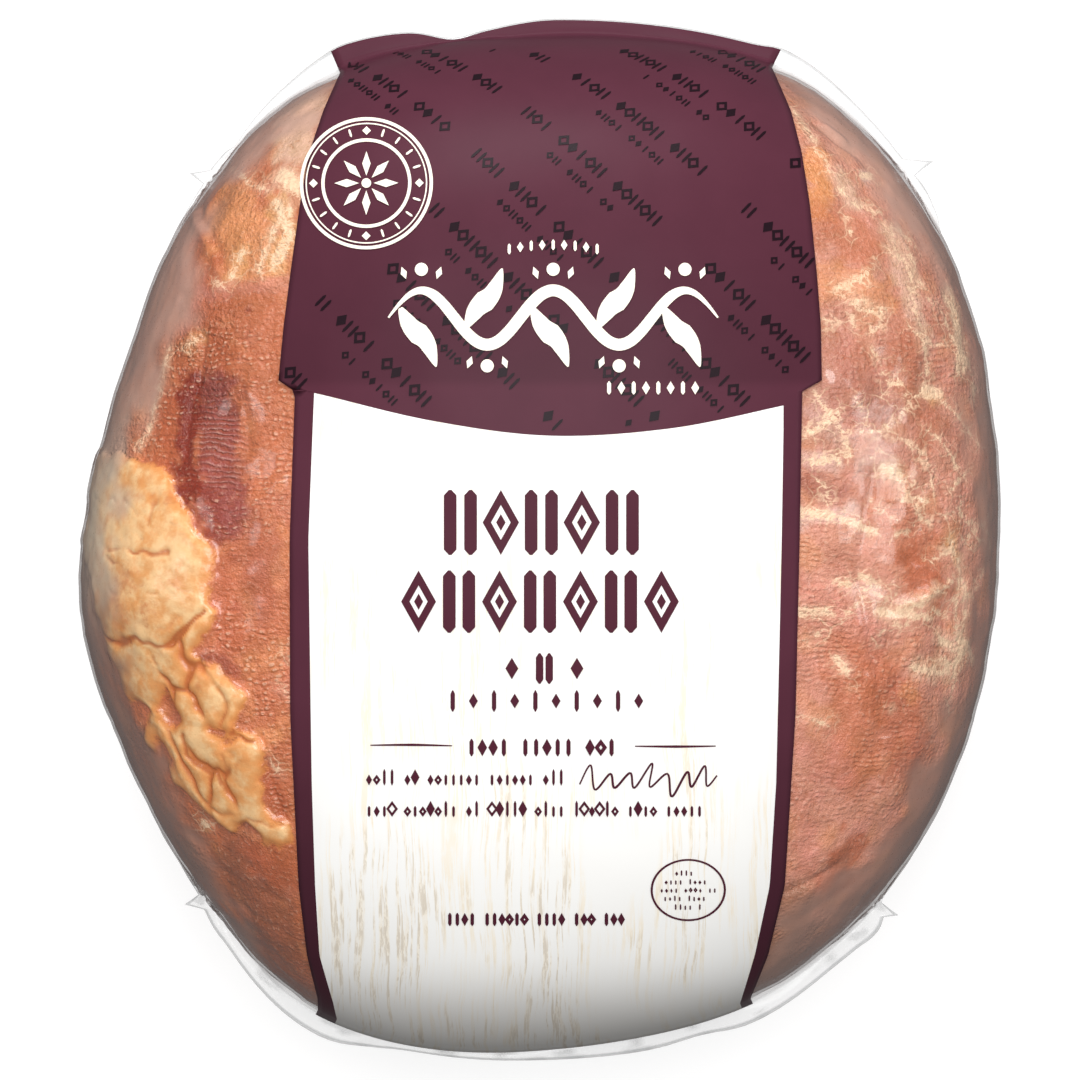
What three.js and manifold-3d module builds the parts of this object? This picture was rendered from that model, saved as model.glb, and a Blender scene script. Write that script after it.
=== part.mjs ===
// Boneless ham, vacuum packed in a clear bag with a printed band, lying on its back.
// +X is the pack's right, +Y its top seal, +Z its shown face. The origin is under the middle of the
// pack, on the surface that it lies on. Lengths are in millimetres and angles in degrees.

import * as THREE from 'three';
import { mergeVertices } from 'three/addons/utils/BufferGeometryUtils.js';
import Module from 'manifold-3d';

const wasm = await Module();
wasm.setup();

// ---- Driving dimensions ----------------------------------------------------------------------

// The ham: a squared oval seen from the front, a flattened round seen from the side.
const HALF_WIDTH = 106.7;
const HALF_LENGTH_TOP = 114.6;
const HALF_LENGTH_BOTTOM = 117.4;
const SQUARENESS = 2.33;
const SEAL_HEIGHT = 61;
const CROWN_HEIGHT = 64;
const BACK_DEPTH = 64;
const PROFILE_POWER = 0.86;

// Where the oval swells out or falls in, by the angle from +X.
const SWELLS = [
  { name: 'upper right shoulder', at: 57, spread: 20, rise: 4.3 },
  { name: 'upper left flat', at: 151, spread: 20, rise: -7.0 },
  { name: 'lower left flat', at: 216, spread: 18, rise: -5.5 },
  { name: 'lower left heel', at: 247, spread: 16, rise: 0.6 },
  { name: 'lower right flat', at: 318, spread: 38, rise: -3.7 },
  { name: 'right side', at: 14, spread: 11, rise: -0.9 },
  { name: 'upper right corner', at: 48, spread: 9, rise: -0.8 },
  { name: 'upper left corner', at: 133, spread: 8, rise: -2.2 },
  { name: 'left side', at: 175, spread: 13, rise: -1.5 },
  { name: 'lower left side', at: 203, spread: 15, rise: -1.0 },
  { name: 'lower left corner', at: 230, spread: 8, rise: -2.8 },
  { name: 'lower end', at: 282, spread: 14, rise: -1.5 },
  { name: 'lower right corner', at: 308, spread: 11, rise: -0.9 },
];

// Lumps and hollows of the meat and fat, placed on the shown face.
const LUMPS = [
  { name: 'upper fat', x: -68, y: 70, reach: 15, rise: 1.6 },
  { name: 'glazed hollow', x: -79, y: 27, reach: 13, rise: -2.0 },
  { name: 'fat cap', x: -88, y: -12, reach: 20, rise: 2.6 },
  { name: 'lower fat lobe', x: -73, y: -48, reach: 17, rise: 2.4 },
  { name: 'hollow under the cap', x: -64, y: -14, reach: 12, rise: -1.5 },
  { name: 'heel of the muscle', x: -70, y: -82, reach: 16, rise: 1.2 },
  { name: 'right muscle', x: 84, y: 22, reach: 24, rise: 1.4 },
  { name: 'right seam', x: 70, y: -60, reach: 14, rise: -1.2 },
];

// The seals: flat film beyond the ham at the pack's top and bottom, ending in corner ears.
// Each station is an angle and how far the film stands out from the oval there.
const SEAL_THICKNESS = 1.2;
const SEAL_ROOT = 7;
const SEAL_STEPS = 64;
const TOP_SEAL = [
  [38, 0.4], [40, 1.2], [42.8, 2.0], [44, 7.2], [47, 2.9], [49, 2.4], [55, 3.0], [63.1, 5.0],
  [67, 4.0], [74, 4.0], [84, 4.6], [90, 4.6], [96, 2.8], [100, 1.6], [104.5, 4.6], [111.5, 6.0],
  [115, 4.9], [120, 2.8], [127, 1.0], [131, 3.0], [133.7, 5.2], [135.5, 1.5], [139, 0.5],
];
const BOTTOM_SEAL = [
  [221, 0.4], [224, 1.2], [225.8, 5.2], [231, 3.9], [238, 4.2], [246.5, 5.3], [251.5, 3.5],
  [256, 2.4], [266, 3.0], [281, 4.4], [288, 3.9], [293.5, 5.2], [303, 4.3], [309, 4.4],
  [313.3, 5.8], [316, 0.6],
];

// The printed film: a wide flap above a narrower panel. Each station is a height and the places
// of the band's left and right edges there.
const PRINT_GAP = 0.35;
const PRINT_THICKNESS = 0.5;
const PRINT_OVER_SEAL = 0.9;
const PRINT_INSIDE_SEAL = 1.1;
const FLAP = [
  [111.8, -45.6, 56], [109.8, -44.8, 52.7], [98, -49.7, 57.5], [88.6, -52.7, 59.8],
  [76.6, -54.8, 61.6], [61, -56.9, 63.1], [49, -58.4, 64.0], [36.4, -59.6, 64.2],
];
const PANEL = [
  [33.8, -55.8, 59.7], [0, -57.0, 59.1], [-40, -56.9, 58.2], [-79, -55.1, 55.9],
  [-95, -53.3, 52.2], [-105, -51.0, 48.4],
];
const BACK_BAND_MIDDLE = 50;
const BACK_BAND_END = 42;
const BACK_BAND_STEPS = 10;
const BACK_BAND_TOP = 111;
const BACK_BAND_BOTTOM = -103;
const LOWER_END_STEPS = 12;

const AROUND = 68;
const RINGS = 26;

// ---- Shape of the ham --------------------------------------------------------------------------

const radians = THREE.MathUtils.degToRad;

function bell(distance, reach) {
  return Math.exp(-((distance / reach) ** 2));
}

function turnBetween(a, b) {
  return ((((a - b + 180) % 360) + 360) % 360) - 180;
}

// How far the oval reaches from the middle of the pack in the direction of an angle.
function ovalRadius(angle) {
  const across = Math.abs(Math.cos(radians(angle))) / HALF_WIDTH;
  const up = Math.sin(radians(angle));
  const along = Math.abs(up) / (up >= 0 ? HALF_LENGTH_TOP : HALF_LENGTH_BOTTOM);
  const round = (across ** SQUARENESS + along ** SQUARENESS) ** (-1 / SQUARENESS);
  return SWELLS.reduce((r, s) => r + s.rise * bell(turnBetween(angle, s.at), s.spread), round);
}

function lumpRise(x, y) {
  return LUMPS.reduce((rise, l) => rise + l.rise * bell(Math.hypot(x - l.x, y - l.y), l.reach), 0);
}

// The ham's skin, or a skin that lies a distance outside it. It starts as a ball with its poles on
// the shown face and on the back, and each point moves out to the ham's own shape.
function hamSkin(outside) {
  const skin = new THREE.SphereGeometry(1, AROUND, RINGS).rotateX(Math.PI / 2);
  const points = skin.getAttribute('position');
  const point = new THREE.Vector3();
  for (let i = 0; i < points.count; i += 1) {
    point.fromBufferAttribute(points, i);
    const angle = THREE.MathUtils.radToDeg(Math.atan2(point.y, point.x));
    const reach = Math.hypot(point.x, point.y) ** PROFILE_POWER;
    const height = Math.abs(point.z) ** PROFILE_POWER;
    const shown = point.z >= 0;
    const across = reach * (ovalRadius(angle) + outside);
    point.x = across * Math.cos(radians(angle));
    point.y = across * Math.sin(radians(angle));
    point.z = shown ? height * (CROWN_HEIGHT + outside) : -height * (BACK_DEPTH + outside);
    if (shown) {
      point.addScaledVector(point.clone().normalize(), lumpRise(point.x, point.y));
    }
    const floor = SEAL_HEIGHT - PRINT_GAP - PRINT_THICKNESS + outside;
    points.setXYZ(i, point.x, point.y, Math.max(point.z, -floor));
  }
  return skin;
}

// ---- Seals -------------------------------------------------------------------------------------

function polar(radius, angle) {
  return new THREE.Vector2(radius * Math.cos(radians(angle)), radius * Math.sin(radians(angle)));
}

// The smooth outer edge of a seal: x is an angle, and y how far the film stands out there.
function sealEdge(stations) {
  const points = stations.map(([angle, out]) => new THREE.Vector2(angle, out));
  return new THREE.SplineCurve(points).getPoints(SEAL_STEPS);
}

// One seal as a flat plate with its root inside the ham.
function sealPlate(stations, outside) {
  const edge = sealEdge(stations);
  const rim = edge.map((p) => polar(ovalRadius(p.x) + Math.max(p.y, 0) + outside, p.x));
  const root = edge.map((p) => polar(ovalRadius(p.x) - SEAL_ROOT, p.x)).reverse();
  const depth = SEAL_THICKNESS + 2 * outside;
  const plate = new THREE.ExtrudeGeometry(new THREE.Shape([...rim, ...root]), {
    depth,
    bevelEnabled: false,
  });
  return plate.translate(0, 0, -depth / 2);
}

// ---- Solids ------------------------------------------------------------------------------------

function solidOf(geometry) {
  const bare = geometry.clone();
  bare.deleteAttribute('normal');
  bare.deleteAttribute('uv');
  const merged = mergeVertices(bare, 1e-4);
  return new wasm.Manifold(new wasm.Mesh({
    numProp: 3,
    vertProperties: new Float32Array(merged.getAttribute('position').array),
    triVerts: new Uint32Array(merged.getIndex().array),
  }));
}

function geometryOf(solid) {
  const mesh = solid.getMesh();
  const geometry = new THREE.BufferGeometry();
  geometry.setAttribute('position', new THREE.BufferAttribute(mesh.vertProperties, 3));
  geometry.setIndex(new THREE.BufferAttribute(mesh.triVerts, 1));
  geometry.computeVertexNormals();
  return geometry;
}

// The filled bag with both seals, about the seal plane, or the same shape a distance outside it.
function filledBag(outside) {
  return solidOf(hamSkin(outside))
    .add(solidOf(sealPlate(TOP_SEAL, outside)))
    .add(solidOf(sealPlate(BOTTOM_SEAL, outside)));
}

// ---- Printed film ------------------------------------------------------------------------------

function bandPoints(stations, side) {
  return stations.map((station) => new THREE.Vector2(station[side], station[0]));
}

function angleOf(point) {
  return (THREE.MathUtils.radToDeg(point.angle()) + 360) % 360;
}

// The band's lower end, just past the ham's oval, from one point round to another.
function lowerEnd(from, to) {
  const points = [];
  for (let i = 0; i <= LOWER_END_STEPS; i += 1) {
    const angle = THREE.MathUtils.lerp(angleOf(from), angleOf(to), i / LOWER_END_STEPS);
    points.push(polar(ovalRadius(angle) + PRINT_OVER_SEAL, angle));
  }
  return points;
}

// The band's upper end, just inside the top seal's wavy edge.
function upperEnd(from, to) {
  return sealEdge(TOP_SEAL)
    .filter((p) => p.x > angleOf(from) && p.x < angleOf(to))
    .map((p) => polar(ovalRadius(p.x) + p.y - PRINT_INSIDE_SEAL, p.x));
}

// The whole band: down its left side, round the lower end, up its right side and over the top.
function bandOutline(left, right) {
  const below = lowerEnd(left[left.length - 1], right[right.length - 1]);
  const above = upperEnd(right[0], left[0]);
  return new THREE.Shape([...left, ...below, ...right.reverse(), ...above]);
}

function frontOutline() {
  const [left, right] = [1, 2];
  return bandOutline(
    [...bandPoints(FLAP, left), ...bandPoints(PANEL, left)],
    [...bandPoints(FLAP, right), ...bandPoints(PANEL, right)],
  );
}

function backOutline() {
  const [left, right] = [[], []];
  for (let i = 0; i <= BACK_BAND_STEPS; i += 1) {
    const y = THREE.MathUtils.lerp(BACK_BAND_TOP, BACK_BAND_BOTTOM, i / BACK_BAND_STEPS);
    const crowned = 1 - (y / BACK_BAND_TOP) ** 2;
    const width = THREE.MathUtils.lerp(BACK_BAND_END, BACK_BAND_MIDDLE, crowned);
    left.push(new THREE.Vector2(-width, y));
    right.push(new THREE.Vector2(width, y));
  }
  return bandOutline(left, right);
}

// A thin skin over the bag, cut to an outline, on the shown face or on the back.
function printedSkin(outline, shown) {
  const depth = 2 * CROWN_HEIGHT;
  const start = PRINT_GAP / 2;
  const column = new THREE.ExtrudeGeometry(outline, { depth, bevelEnabled: false });
  column.translate(0, 0, shown ? start : -start - depth);
  return filledBag(PRINT_GAP + PRINT_THICKNESS)
    .subtract(filledBag(PRINT_GAP))
    .intersect(solidOf(column));
}

// ---- The pack ----------------------------------------------------------------------------------

const FINISHES = {
  ham: new THREE.MeshStandardMaterial({ color: 0xc98a68, roughness: 0.25, metalness: 0 }),
  front: new THREE.MeshStandardMaterial({ color: 0x5a2e3c, roughness: 0.35, metalness: 0 }),
  back: new THREE.MeshStandardMaterial({ color: 0xf2efe9, roughness: 0.35, metalness: 0 }),
};

function piece(name, solid, finish) {
  const mesh = new THREE.Mesh(geometryOf(solid), finish);
  mesh.name = name;
  mesh.position.z = SEAL_HEIGHT;
  return mesh;
}

const pack = new THREE.Group();
pack.add(piece('ham_in_bag', filledBag(0), FINISHES.ham));
pack.add(piece('printed_front', printedSkin(frontOutline(), true), FINISHES.front));
pack.add(piece('printed_back', printedSkin(backOutline(), false), FINISHES.back));

// The seals and swells are uneven, so the pack is brought back over its origin.
const middle = new THREE.Box3().setFromObject(pack).getCenter(new THREE.Vector3());
pack.position.set(-middle.x, -middle.y, 0);

export default pack;
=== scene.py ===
"""Boneless ham in a clear shrink bag with a printed band, lying on its back.

The file is laid out as an add-on. Shapes are worked out in millimetres about the middle of the
seal plane, and placed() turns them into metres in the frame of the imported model.
"""

import math

import bpy
import numpy as np
from bpy.props import FloatProperty, FloatVectorProperty, PointerProperty
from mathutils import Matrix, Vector


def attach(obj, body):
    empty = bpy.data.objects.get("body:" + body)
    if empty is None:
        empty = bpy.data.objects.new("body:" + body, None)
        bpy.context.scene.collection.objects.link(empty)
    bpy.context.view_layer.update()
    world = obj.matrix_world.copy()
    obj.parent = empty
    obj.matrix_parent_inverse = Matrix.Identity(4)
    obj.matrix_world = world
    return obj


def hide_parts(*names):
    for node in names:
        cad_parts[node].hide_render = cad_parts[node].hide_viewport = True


bl_info = {
    "name": "Packed Ham",
    "version": (1, 0, 0),
    "blender": (4, 5, 0),
    "location": "View3D > Sidebar > Packed Ham",
    "description": "Builds a boneless ham in its shrink bag, with its printed band",
    "category": "Object",
}

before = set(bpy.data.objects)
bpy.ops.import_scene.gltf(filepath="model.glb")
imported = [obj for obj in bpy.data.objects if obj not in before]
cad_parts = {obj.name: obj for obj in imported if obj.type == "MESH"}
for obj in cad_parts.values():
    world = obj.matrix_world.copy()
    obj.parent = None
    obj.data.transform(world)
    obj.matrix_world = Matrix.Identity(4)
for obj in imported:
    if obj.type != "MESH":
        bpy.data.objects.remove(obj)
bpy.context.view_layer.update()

MM = 0.001
BODY = "root"

# ---- The ham's form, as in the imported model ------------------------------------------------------

HALF_WIDTH = 106.7
HALF_LENGTH_TOP = 114.6
HALF_LENGTH_BOTTOM = 117.4
SQUARENESS = 2.33
SEAL_HEIGHT = 61.0
CROWN_HEIGHT = 64.0
BACK_DEPTH = 64.0
PROFILE_POWER = 0.86
UNDERSIDE_GAP = 0.85
LUMP_FADE = 12.0

# Where the oval swells out or falls in: angle from +X in degrees, spread in degrees, rise.
SWELLS = (
    (57, 20, 4.3),
    (151, 20, -7.0),
    (216, 18, -5.5),
    (247, 16, 0.6),
    (318, 38, -3.7),
    (14, 11, -0.9),
    (48, 9, -0.8),
    (133, 8, -2.2),
    (175, 13, -1.5),
    (203, 15, -1.0),
    (230, 8, -2.8),
    (282, 14, -1.5),
    (308, 11, -0.9),
)

# Lumps and hollows of the shown face: x, y, reach, rise.
LUMPS = (
    (-68, 70, 15, 1.6),
    (-79, 27, 13, -2.0),
    (-88, -12, 20, 2.6),
    (-73, -48, 17, 2.4),
    (-64, -14, 12, -1.5),
    (-70, -82, 16, 1.2),
    (84, 22, 24, 1.4),
    (70, -60, 14, -1.2),
)

# The flat seals: angle and how far the film stands out from the oval there.
TOP_SEAL = (
    (37, 0.4), (39.4, 1.3), (42.3, 2.2), (45, 2.0), (49, 2.3), (55, 3.0), (63.1, 5.0), (67, 4.0),
    (74, 4.0), (84, 4.6), (90, 4.6), (96, 2.8), (100, 1.6), (104.5, 4.6), (111.5, 6.0), (115, 4.9),
    (120, 2.8), (127, 0.9), (129.1, 1.7), (131, 2.0), (134.3, 1.6), (137, 1.2), (142, 0.2),
)
BOTTOM_SEAL = (
    (218, 0.1), (223, 1.0), (227.5, 2.2), (230, 3.8), (232.6, 3.8), (238, 4.2), (246.5, 5.3),
    (251.5, 3.5), (256, 2.4), (266, 3.0), (281, 4.4), (288, 3.9), (293.5, 5.2), (303, 4.3),
    (307.5, 4.5), (310.5, 5.0), (312.5, 2.0), (314, 0.8), (318, 0.2),
)
SEAL_STEPS = 160

# The seals' hooked ears: angle, reach, spread below and above the angle, lean of the tip.
EARS = (
    (45.1, 7.1, 0.9, 2.6, -1.2),
    (132.6, 5.3, 2.4, 0.8, 1.1),
    (227.0, 5.4, 0.9, 3.2, -1.3),
    (312.5, 5.8, 2.8, 0.8, 1.2),
)

# The printed band's edges: y, left x, right x.
FLAP = (
    (111.8, -45.6, 56.0), (109.8, -44.8, 52.7), (98, -49.7, 57.5), (88.6, -52.7, 59.8),
    (76.6, -54.8, 61.6), (61, -56.9, 63.1), (49, -58.4, 64.0), (36.4, -59.6, 64.2),
)
PANEL = (
    (33.8, -55.8, 59.7), (0, -57.0, 59.1), (-40, -56.9, 58.2), (-79, -55.1, 55.9),
    (-95, -53.3, 52.2), (-105, -51.0, 48.4),
)

# The back band's half widths in its middle and at its ends, and the y of its ends.
BACK_BAND_MIDDLE = 50.0
BACK_BAND_END = 42.0
BACK_BAND_TOP = 111.0
BACK_BAND_BOTTOM = -103.0

# How many waves a random field is made of.
WAVE_COUNT = 18


def bell(distance, reach):
    return np.exp(-((distance / reach) ** 2))


def smooth(low, high, value):
    share = np.clip((value - low) / (high - low), 0.0, 1.0)
    return share * share * (3.0 - 2.0 * share)


def plan_distance(points, x, y):
    return np.hypot(points[:, 0] - x, points[:, 1] - y)


def turn_between(a, b):
    return (a - b + 180.0) % 360.0 - 180.0


def oval(angle):
    """How far the ham reaches from its middle in the direction of an angle in degrees."""
    across = np.abs(np.cos(np.radians(angle))) / HALF_WIDTH
    up = np.sin(np.radians(angle))
    along = np.abs(up) / np.where(up >= 0, HALF_LENGTH_TOP, HALF_LENGTH_BOTTOM)
    reach = (across**SQUARENESS + along**SQUARENESS) ** (-1 / SQUARENESS)
    for at, spread, rise in SWELLS:
        reach = reach + rise * bell(turn_between(angle, at), spread)
    return reach


def spline(stations, steps, closed=False):
    """Catmull-Rom points through the stations."""
    given = np.array(stations, float)
    count = len(given)
    spans = count if closed else count - 1
    at = np.linspace(0, spans, steps + 1)
    first = np.minimum(at.astype(int), spans - 1)
    t = (at - first)[:, None]

    def station(index):
        return given[index % count] if closed else given[np.clip(index, 0, count - 1)]

    p0, p1, p2, p3 = (station(first + k) for k in (-1, 0, 1, 2))
    return p1 + 0.5 * t * (p2 - p0 + t * (2 * p0 - 5 * p1 + 4 * p2 - p3
                                          + t * (3 * (p1 - p2) + p3 - p0)))


TOP_EDGE = spline(TOP_SEAL, SEAL_STEPS)
BOTTOM_EDGE = spline(BOTTOM_SEAL, SEAL_STEPS)


def seal_reach(angle):
    """How far the flat film stands out from the oval at an angle, 0 along the pack's sides."""
    angle = np.mod(angle, 360.0)
    top = np.interp(angle, TOP_EDGE[:, 0], TOP_EDGE[:, 1], left=0, right=0)
    bottom = np.interp(angle, BOTTOM_EDGE[:, 0], BOTTOM_EDGE[:, 1], left=0, right=0)
    reach = np.maximum(np.maximum(top, bottom), 0.0)
    for at, tall, below, above, _ in EARS:
        reach = np.maximum(reach, tall * ear_share(angle, at, below, above))
    return reach


def ear_share(angle, at, below, above):
    away = turn_between(angle, at)
    return np.clip(1 - np.where(away < 0, -away / below, away / above), 0, 1) ** 1.25


def pack_middle():
    """The middle of the pack's outline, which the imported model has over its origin."""
    turn = np.radians(np.arange(0.0, 360.0, 0.25))
    ways = np.column_stack([np.cos(turn), np.sin(turn), 0 * turn])
    reach = np.linalg.norm(skin(ways), axis=1) + seal_reach(np.degrees(turn))
    outline = ways[:, :2] * reach[:, None]
    return (outline.min(0) + outline.max(0)) / 2


def placed(points):
    """Points in millimetres about the seal plane, as metres in the frame."""
    moved = np.array(points, float)
    moved[:, :2] -= MIDDLE
    moved[:, 2] += SEAL_HEIGHT
    return moved * MM


def lump_rise(points):
    rise = np.zeros(len(points))
    for x, y, reach, height in LUMPS:
        rise += height * bell(plan_distance(points, x, y), reach)
    below = np.minimum(points[:, 2], 0.0)
    return rise * bell(below, LUMP_FADE)


def skin(directions, outside=0.0):
    """Points of the ham's skin, or a distance outside it, for unit directions from the middle."""
    angle = np.degrees(np.arctan2(directions[:, 1], directions[:, 0]))
    reach = np.hypot(directions[:, 0], directions[:, 1]) ** PROFILE_POWER
    height = np.abs(directions[:, 2]) ** PROFILE_POWER
    across = reach * (oval(angle) + outside)
    shown = directions[:, 2] >= 0
    points = np.empty_like(directions)
    points[:, 0] = across * np.cos(np.radians(angle))
    points[:, 1] = across * np.sin(np.radians(angle))
    points[:, 2] = np.where(shown, height * (CROWN_HEIGHT + outside), -height * (BACK_DEPTH + outside))
    length = np.linalg.norm(points, axis=1)
    return points * (1 + lump_rise(points) / length)[:, None]


MIDDLE = pack_middle()


def lying(points, outside=0.0):
    """The points with the underside pressed flat where the pack lies."""
    floor = SEAL_HEIGHT - UNDERSIDE_GAP + outside
    points[:, 2] = np.maximum(points[:, 2], -floor)
    return points


def skin_height(x, y, outside, shown=True):
    """Height of the skin over the seal plane at places in plan view."""
    x, y = np.atleast_1d(x).astype(float), np.atleast_1d(y).astype(float)
    depth = (CROWN_HEIGHT if shown else BACK_DEPTH) + outside
    power = 2 / PROFILE_POWER
    from_x, from_y, z = x.copy(), y.copy(), np.zeros_like(x)
    rise = np.zeros_like(x)
    for _ in range(4 if shown else 1):
        angle = np.degrees(np.arctan2(from_y, from_x))
        share = np.clip(np.hypot(from_x, from_y) / (oval(angle) + outside), 0, 1)
        z = depth * (1 - share**power) ** (1 / power)
        if not shown:
            return np.maximum(-z, -(SEAL_HEIGHT - UNDERSIDE_GAP + outside))
        base = np.column_stack([from_x, from_y, z])
        rise = lump_rise(base) / np.maximum(np.linalg.norm(base, axis=1), 1)
        from_x, from_y = x / (1 + rise), y / (1 + rise)
    return z * (1 + rise)


def waves(points, size, seed):
    """A smooth random field over points, about -1 to 1, with lumps of a size in millimetres."""
    rng = np.random.default_rng(seed)
    ways = rng.normal(size=(WAVE_COUNT, 3))
    ways /= np.linalg.norm(ways, axis=1)[:, None]
    ways *= rng.uniform(0.6, 1.4, (WAVE_COUNT, 1)) * 2 * math.pi / (2 * size)
    starts = rng.uniform(0, 2 * math.pi, WAVE_COUNT)
    total = np.zeros(len(points))
    for way, start in zip(ways, starts):
        total += np.cos(points @ way + start)
    return total / math.sqrt(WAVE_COUNT)


# ---- Marks on the meat ---------------------------------------------------------------------------

# Lobes of fat: points, half width, height.
FAT_LOBES = (
    (((-75.2, -15.2), (-77.5, -20.7), (-79.8, -25.8)), 2.3, 2.0),
    (((-83.3, -26.9), (-83, -30.1)), 3.5, 2.6),
    (((-96.6, -25.8), (-91.5, -29.4), (-89.2, -34)), 4.4, 2.2),
    (((-75.4, -29.2), (-71.3, -32.4), (-69, -36.8), (-69, -40.9)), 1.7, 2.4),
    (((-76.4, -31.7), (-75, -35), (-73.8, -38.6)), 2.6, 2.2),
    (((-80, -36.1), (-79.1, -40.5)), 1.8, 1.6),
    (((-78.9, -44.4), (-77, -47.4), (-73.6, -48.8), (-70.4, -49.9)), 2.2, 2.2),
    (((-66.7, -45.5),), 1.6, 1.3),
    (((-68.5, -49.2), (-66.7, -53.4), (-64.9, -58.2), (-62.6, -62.6)), 3.2, 2.8),
    (((-61.2, -64.9), (-59.3, -68.1)), 2.6, 2.1),
    (((-86, -45.1), (-84.2, -50.6), (-81.4, -54.5), (-78.9, -58.2), (-75.9, -62.1)), 2.1, 1.9),
    (((-82.6, -42.8), (-81.2, -47.4), (-78.4, -52.2), (-75.7, -57.5)), 2.0, 1.7),
    (((-74.1, -55), (-72.2, -59.1)), 2.2, 1.6),
    (((-72.9, -62.3), (-70.8, -65.8)), 1.5, 1.3),
)

# The broad cap of fat, its outline and height.
FAT_CAP = (
    (-86.7, 14.3), (-83.5, 13.1), (-81.2, 9.2), (-78.9, 5.1), (-76.1, 1.4), (-74.5, -2.3),
    (-74.1, -6.9), (-74.3, -11.5), (-75.7, -14.3), (-78.2, -17.2), (-81, -20.5), (-83.7, -22.5),
    (-89.7, -23), (-97.1, -21.6), (-103.5, -19.8), (-108, -10), (-108, 2), (-105, 12),
    (-100.3, 16.1), (-95.5, 16.5), (-91, 15.5),
)
# The outline of all the fat, and how it rises at its edge.
FAT_OUTLINE = (
    (-84.6, 12.7), (-81.2, 8.7), (-78.4, 4.4), (-75.2, 0.5), (-74.1, -5.3), (-74.5, -10.3),
    (-75.4, -13.8), (-73.4, -15.2), (-73.6, -17.5), (-75.7, -22.5), (-78.4, -26.9), (-73.1, -27.8),
    (-69.9, -31.5), (-67.4, -35.4), (-66.9, -39.8), (-67.6, -43.7), (-64.4, -45.5), (-63.9, -48.8),
    (-62.3, -55.0), (-61.0, -60.7), (-57.3, -64.9), (-57.0, -69.5), (-58.9, -70.4), (-62.3, -69.2),
    (-66.9, -65.3), (-69.9, -67.2), (-74.5, -63.9), (-77.7, -61.0), (-81.0, -57.7), (-84.2, -53.1),
    (-86.7, -46.7), (-88.8, -43.7), (-90.4, -39.1), (-92.9, -36.6), (-96.1, -31.5), (-98.2, -26.2),
    (-99.8, -20.0), (-102.1, -13.8), (-104.4, -4.6), (-104.4, 6.9), (-103.0, 16.1), (-101.2, 20.2),
    (-96.5, 20.2), (-91.5, 19.0), (-87.4, 16.1),
)
FAT_HEIGHT = 0.5
LOBE_HEIGHT = 1.0
FAT_ROUNDING = 3.8

# Hollows in the fat where the meat shows: points, half width.
FAT_RECESSES = (
    (((-86.2, -36.8), (-83.7, -40.5)), 1.7),
    (((-74.6, -43.2), (-71.2, -44.0)), 0.5),
    (((-70.6, -45.4), (-69.4, -46.2)), 0.5),
)
CAP_DEPTH = 26.0

# Creases in the fat: points, half width, depth.
FAT_CREASES = (
    (((-99.4, -1.6), (-97.5, -2.3), (-93.4, -2.5), (-88.5, -3.2), (-84.6, -4.1)), 0.5, 0.7),
    (((-87.9, 10.6), (-87.2, 7.4), (-88.8, 4.4)), 0.5, 0.5),
    (((-98.4, -4.1), (-96.6, -5.8), (-94.8, -6.2)), 0.5, 0.5),
    (((-99.4, -20.9), (-94.3, -22.1), (-89.2, -23), (-83.5, -22.8), (-80.5, -19.8), (-77, -15.9)),
     0.6, 1.0),
    (((-86, -19.8), (-83.7, -19.1), (-81.9, -16.1)), 0.4, 0.4),
    (((-80.7, -44.4), (-79.8, -48.8), (-76.8, -51.3), (-73.4, -52.9), (-71.5, -55)), 0.5, 0.9),
    (((-66.7, -63.7), (-62.8, -64.4), (-58.4, -65.5)), 0.4, 0.6),
    (((-84.2, -43.2), (-82.6, -48.3), (-79.6, -53.4), (-76.8, -58)), 0.5, 0.5),
    (((-86.2, -24.4), (-87.4, -27.6), (-86.7, -29.4)), 0.5, 0.5),
    (((-71.8, -48.8), (-70.8, -52), (-71.3, -54.7)), 0.5, 0.5),
    (((-68.3, -50.1), (-68.8, -53.4)), 0.4, 0.4),
    (((-101.5, 9.0), (-97.0, 8.4), (-93.8, 8.1), (-90.0, 7.2)), 0.4, 0.4),
    (((-93.0, 3.0), (-90.5, 0.8), (-87.0, 0.2)), 0.35, 0.35),
    (((-97.5, -11.5), (-93.5, -13.5), (-90.5, -12.2), (-86.5, -13.0)), 0.4, 0.4),
    (((-84.0, -9.0), (-80.5, -10.8), (-78.0, -9.8)), 0.35, 0.35),
)

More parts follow.
